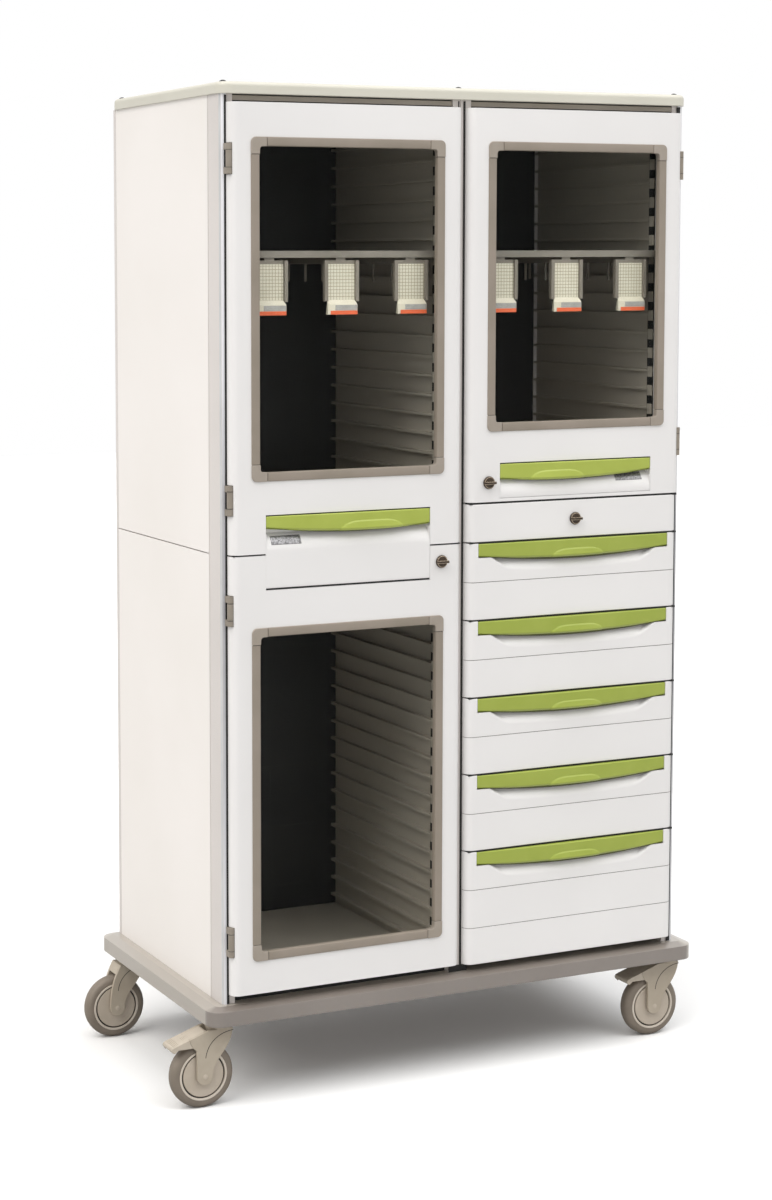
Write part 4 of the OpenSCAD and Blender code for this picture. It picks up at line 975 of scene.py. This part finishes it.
def make_ladders():
    """Front edge of the bay liners: light blocks between the shelf slots, on a dark strip that is painted
    shade of the slots.
    """
    low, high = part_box("bay_liners")
    first, block_h = 8 * MM, 21 * MM
    blocks, slots = Shape(), Shape()
    count = round((high.z - low.z) / LADDER_PITCH)
    # x of the right wall of each bay
    for wall in (-20.6, 479.9):
        slots.box(in_case(wall, 56, low.z), in_case(wall + 0.6, 76, high.z))
        for k in range(count):
            z = low.z + k * LADDER_PITCH + first
            blocks.box(in_case(wall - 1.0, 57, z), in_case(wall + 0.3, 74, z + block_h))
    blocks.piece("ladder_blocks", "cabinet", "liner_beige", bevel=0.5 * MM)
    slots.piece("ladder_slots", "cabinet", "liner_beige", "painted_shade_black", bevel=0.1 * MM)


# Casters, drawn about the middle of the wheel with the swivel toward +X

ARM_IN, ARM_OUT = 17 * MM, 23 * MM
LAP = 1 * MM
TRAIL = 38 * MM
# for outlines, in millimetres
CROWN_LOW, CROWN_Z = 69.7, 88.3
ARM_R, ARM_TOP = 16, 88.5
PIVOT = (3, 80.5)
EAR_R = 35
EAR_GAP = 0.4


def rod(radius, half):
    """Profile of a rod for a lathe, from its middle."""
    return [(0.0, -half), (radius, -half), (radius, half), (0.0, half)]


def caster_centre(corner):
    low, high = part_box(f"{corner}_wheel")
    return (low + high) / 2


def make_wheel(corner):
    """Tyre with rounded shoulders, light ring, a groove darkened as painted shade and a flat disc, all turned
    about the axle.
    """
    centre = caster_centre(corner)
    body = f"{corner}_wheel"
    tyre, ring, disc, groove = Shape(), Shape(), Shape(), Shape()
    shoulder = [(48.5, -14), (54, -14.2), (58, -13), (61.3, -10.4), (63.1, -6.5), (63.5, -3)]
    lip = [(48.6, 9), (48.6, 14.2), (47.7, 14.9), (45.2, 14.9), (44.4, 14.2), (44.4, 9), (48.6, 9)]
    face = [(41.2, 9), (41.2, 13.4), (40.2, 14.2), (31.7, 14.4), (12, 14), (0, 14)]
    floor = [(45.4, 10.6), (40.2, 10.6), (40.2, 9.2), (45.4, 9.2), (45.4, 10.6)]
    section = shoulder + [(r, -y) for r, y in shoulder[::-1]]
    tyre.lathe(in_mm(section + [section[0]]), centre, 96)
    for s in SIDES:
        for shape, profile, turns in ((ring, lip, 96), (disc, face, 96), (groove, floor, 64)):
            shape.lathe(in_mm([(r, s * y) for r, y in profile]), centre, turns)
    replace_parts(tyre.piece(f"{corner}_tyre", body, "tyre_grey"), body)
    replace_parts(ring.piece(f"{corner}_ring", body, "tyre_grey", "wheel_ring"), body)
    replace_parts(disc.piece(f"{corner}_disc", body, "tyre_grey", "wheel_disc"), body)
    # the groove's dark finish is painted shade
    groove.piece(f"{corner}_groove", body, "tyre_grey", "painted_crease_shade")


def arm_outline(braked):
    """Side outline of a fork arm; a braked arm has an ear about the pedal's hinge."""
    foot = arc((0, 0), ARM_R, 180, 360, 16)
    right = bezier((ARM_R, 0), (14, 32), (54, 46), (57, ARM_TOP), 18)
    if braked:
        left = [(10, ARM_TOP), (3, 86.5), (-31.5, 74.9)]
        left += arc(PIVOT, EAR_R, 190, 235, 10)
        left += bezier((-17, 51.7), (-17.5, 46), (-16, 32), (-ARM_R, 0), 6)
    else:
        left = bezier((7, ARM_TOP), (-2.6, 70.8), (-14.9, 51.3), (-ARM_R, 0), 14)
    return in_mm(foot + right + left)


def band_outline(curve, half):
    """Outline of a thin band along a curve."""
    sides = ([], [])
    for i, (x, z) in enumerate(curve):
        ahead = curve[min(i + 1, len(curve) - 1)]
        behind = curve[max(i - 1, 0)]
        along = Vector((ahead[0] - behind[0], ahead[1] - behind[1])).normalized()
        for side, sign in zip(sides, SIDES):
            side.append((x - sign * along.y * half, z + sign * along.x * half))
    return sides[0] + sides[1][::-1]


def make_fork(corner, braked):
    """Fork: two arms with a dark curved line painted as the shade of a groove, crown between them, axle caps,
    hub and stem above.
    """
    centre = caster_centre(corner)
    node = f"{corner}_fork"
    body = f"{corner}_caster"
    outline = placed(arm_outline(braked), centre.x, centre.z)
    # dark curved line on each arm: painted shade of a groove
    curve = in_mm(bezier((58, 84), (26, 82.4), (4.2, 63.4), (1, 36), 18))
    line = placed(band_outline(curve, 0.7 * MM), centre.x, centre.z)
    # radius of the axle cap and its height over the arm
    cap = ((0, 1.0), (3, 0.9), (5, 0.3), (5, -1), (0, -1))
    arms, lines, caps = Shape(), Shape(), Shape()
    for s in SIDES:
        arms.prism(outline, *sorted((centre.y + s * ARM_IN, centre.y + s * ARM_OUT)))
        line_y = (centre.y + s * (ARM_OUT + d * MM) for d in (-0.5, 0.12))
        lines.prism(line, *sorted(line_y))
        caps.lathe([(r * MM, s * (ARM_OUT + out * MM)) for r, out in cap], centre, 32)
    crown = [(19, CROWN_Z), (19, CROWN_LOW)] if braked else [(6.6, CROWN_Z), (1, 79), (-3.6, CROWN_LOW)]
    crown += [(53.2, CROWN_LOW), (56.6, CROWN_Z)]
    arms.prism(placed(in_mm(crown), centre.x, centre.z), centre.y - ARM_IN - LAP, centre.y + ARM_IN + LAP)
    hub_r, stem_r, axle_r = 26.5 * MM, 6 * MM, 5 * MM
    hub_low, hub_top, stem_top = centre.z + (CROWN_Z - 2) * MM, centre.z + 98.5 * MM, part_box(node)[1].z
    hub = [(hub_r, hub_low), (hub_r, hub_top - 2 * MM), (hub_r - 1.5 * MM, hub_top), (stem_r, hub_top),
           (stem_r, stem_top)]
    arms.lathe(hub, (centre.x + TRAIL, centre.y, 0), 48, "z")
    arms.lathe(rod(axle_r, ARM_IN + LAP), centre, 24)
    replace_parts(arms.piece(f"{corner}_yoke", body, "fork_beige", bevel=1.0 * MM), node)
    lines.piece(f"{corner}_lines", body, "fork_beige", "painted_crease_shade")
    caps.piece(f"{corner}_caps", body, "fork_beige", "wheel_disc")


def make_pedal(corner):
    """Brake pedal: ribbed plate over the tyre, skirts in line with the fork's ears, barrel at its hinge."""
    centre = caster_centre(corner)
    node = f"{corner}_pedal"
    knee, slope, play = (-47.6, 69.5), 0.31, 0.5 * MM
    barrel_r, barrel_half = 6 * MM, 16 * MM
    rib_pitch, rib_w, rib_in, rib_out = 3, 1.4, 2, 0.9
    nose = [knee, (-57, 66.6), (-62, 65), (-66.6, 62.6), (-68, 59), (-66.8, 55.4), (-62, 53)]
    ear = arc(PIVOT, EAR_R + EAR_GAP, 218.5, 190, 12)
    skirt = placed(in_mm(ear + [(-32, 74.7)] + nose + [(-54.4, 58.5)]), centre.x, centre.z)
    foot = [(-51.7, 58), (-40.8, 63), (-20.4, 68), (3, 74.5)]
    plate = placed(in_mm([(3, 86.5)] + nose + foot), centre.x, centre.z)
    shape = Shape()
    for s in SIDES:
        shape.prism(skirt, *sorted((centre.y + s * (ARM_IN - play), centre.y + s * ARM_OUT)))
    shape.prism(plate, centre.y - ARM_IN + play, centre.y + ARM_IN - play)
    hinge = (centre.x + PIVOT[0] * MM, centre.y, centre.z + PIVOT[1] * MM)
    shape.lathe(rod(barrel_r, barrel_half), hinge, 24)
    # ribs near the tip and behind it: first x, how many, half width
    for first, count, wide in ((-62, 4, 19), (-40, 5, 7)):
        for k in range(count):
            x = first + rib_pitch * k
            z = knee[1] + (x - knee[0]) * slope
            shape.box((centre.x + x * MM, centre.y - wide * MM, centre.z + (z - rib_in) * MM),
                      (centre.x + (x + rib_w) * MM, centre.y + wide * MM, centre.z + (z + rib_out) * MM))
    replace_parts(shape.piece(f"{corner}_brake", node, "pedal_beige", bevel=0.7 * MM), node)


def make_casters():
    for corner in ("front_left", "front_right", "rear_left", "rear_right"):
        braked = corner.startswith("front")
        make_wheel(corner)
        make_fork(corner, braked)
        if braked:
            make_pedal(corner)


# Studio

WHITE = (1.0, 1.0, 1.0, 1.0)
WORLD_TINT = (1.0, 0.99, 0.975, 1.0)
WORLD_LIGHT = 0.54
FLOOR_HALF = 14.0
# each soft light: name, direction it comes from, spread in degrees, strength, colour
SOFT_LIGHTS = (
    ("key", (-0.62, -0.18, 0.765), 50.0, 1.9, (1.0, 0.98, 0.95)),
    ("fill", (0.34, -0.28, 0.9), 60.0, 1.5, (0.98, 0.99, 1.0)),
)
FRONT_BOX_AT = Vector((0.5, -2.4, 3.2))
FRONT_BOX_AIM = Vector((0.1, -0.2, 1.4))
FRONT_BOX_SIZE = 1.8
FRONT_BOX_POWER = 8.5


def floor_finish():
    """White floor for the eye, greyer for the light it sends back."""
    finish = Finish("floor_white", (188, 188, 188), (192, 192, 192), 0.8, cloud=1.5, bump=0.0)
    return finish.for_rays("Is Camera Ray", finish.node("BsdfDiffuse", Color=WHITE)).material


def make_floor():
    """Pale floor that keeps the shadow."""
    shape = bpy.data.meshes.new("floor")
    corners = [(x * FLOOR_HALF, y * FLOOR_HALF, 0.0) for x, y in ((-1, -1), (1, -1), (1, 1), (-1, 1))]
    shape.from_pydata(corners, [], [(0, 1, 2, 3)])
    shape.materials.append(floor_finish())
    floor = add_object("floor", shape)


def make_world():
    """White to the eye, in reflections and through the glazing, softer as light."""
    world = bpy.data.worlds.new("studio")
    bpy.context.scene.world = world
    world.use_nodes = True
    nodes, links = world.node_tree.nodes, world.node_tree.links

    def combined(operation, first, second):
        node = nodes.new("ShaderNodeMath")
        node.operation = operation
        node.use_clamp = True
        links.new(first, node.inputs[0])
        links.new(second, node.inputs[1])
        return node.outputs["Value"]

    light = nodes["Background"]
    seen = nodes.new("ShaderNodeBackground")
    set_sockets(light, {"Color": WORLD_TINT, "Strength": WORLD_LIGHT})
    set_sockets(seen, {"Color": WHITE, "Strength": 1.0})
    rays = nodes.new("ShaderNodeLightPath").outputs
    through = combined("SUBTRACT", rays["Is Transmission Ray"], rays["Diffuse Depth"])
    direct = combined("MAXIMUM", rays["Is Camera Ray"], through)
    choice = nodes.new("ShaderNodeMixShader")
    links.new(combined("MAXIMUM", direct, rays["Is Glossy Ray"]), choice.inputs["Fac"])
    links.new(light.outputs["Background"], choice.inputs[1])
    links.new(seen.outputs["Background"], choice.inputs[2])
    links.new(choice.outputs["Shader"], nodes["World Output"].inputs["Surface"])


def add_lamp(lamp, way):
    """Puts a lamp into the scene, shining along a direction."""
    obj = add_object(lamp.name, lamp)
    obj.rotation_euler = way.to_track_quat("-Z", "Y").to_euler()
    return obj


def make_soft_lights():
    """Wide lights from both sides and above, and a softbox in front that favours the upper fronts."""
    for name, source, spread, strength, colour in SOFT_LIGHTS:
        lamp = bpy.data.lights.new(name, "SUN")
        lamp.angle = math.radians(spread)
        lamp.energy = strength
        lamp.color = colour
        add_lamp(lamp, -Vector(source))
    box = bpy.data.lights.new("front_box", "AREA")
    box.shape = "SQUARE"
    box.size = FRONT_BOX_SIZE
    box.energy = FRONT_BOX_POWER
    add_lamp(box, FRONT_BOX_AIM - FRONT_BOX_AT).location = FRONT_BOX_AT


# Camera

IMAGE_H = 1200
FOCAL_PX = 2348.54
CAMERA_AT = Vector((-2.224, -4.21775, 1.598))
YAW, PITCH, ROLL = math.radians(-24.14), math.radians(5.03), math.radians(-0.19)
SHIFT = (0.12847, -0.11066)


def make_camera():
    """Camera at the photograph's viewing angle."""
    forward = Vector((-math.sin(YAW) * math.cos(PITCH), math.cos(YAW) * math.cos(PITCH), -math.sin(PITCH)))
    level = Vector((math.cos(YAW), math.sin(YAW), 0.0))
    upright = level.cross(forward)
    right = level * math.cos(ROLL) + upright * math.sin(ROLL)
    up = upright * math.cos(ROLL) - level * math.sin(ROLL)
    lens = bpy.data.cameras.new("camera")
    lens.sensor_fit = "VERTICAL"
    lens.sensor_height = 36.0
    lens.lens = lens.sensor_height * FOCAL_PX / IMAGE_H
    lens.shift_x, lens.shift_y = SHIFT
    lens.clip_end = 60.0
    camera = add_object("camera", lens)
    turn = Matrix((right, up, -forward)).transposed()
    camera.matrix_world = Matrix.Translation(CAMERA_AT) @ turn.to_4x4()
    bpy.context.scene.camera = camera


def main():
    bpy.context.scene.view_settings.view_transform = "Standard"
    make_camera()
    dress_nodes()
    make_painted_gap_shade()
    make_grips()
    make_fronts()
    make_handles()
    make_leaf_joint()
    make_hinge_joints()
    make_trims()
    for lock in ("left_lock", "right_lock", "drawer_lock"):
        make_lock(lock)
    make_posts()
    make_tags()
    make_ladders()
    make_casters()
    make_floor()
    make_world()
    make_soft_lights()


main()
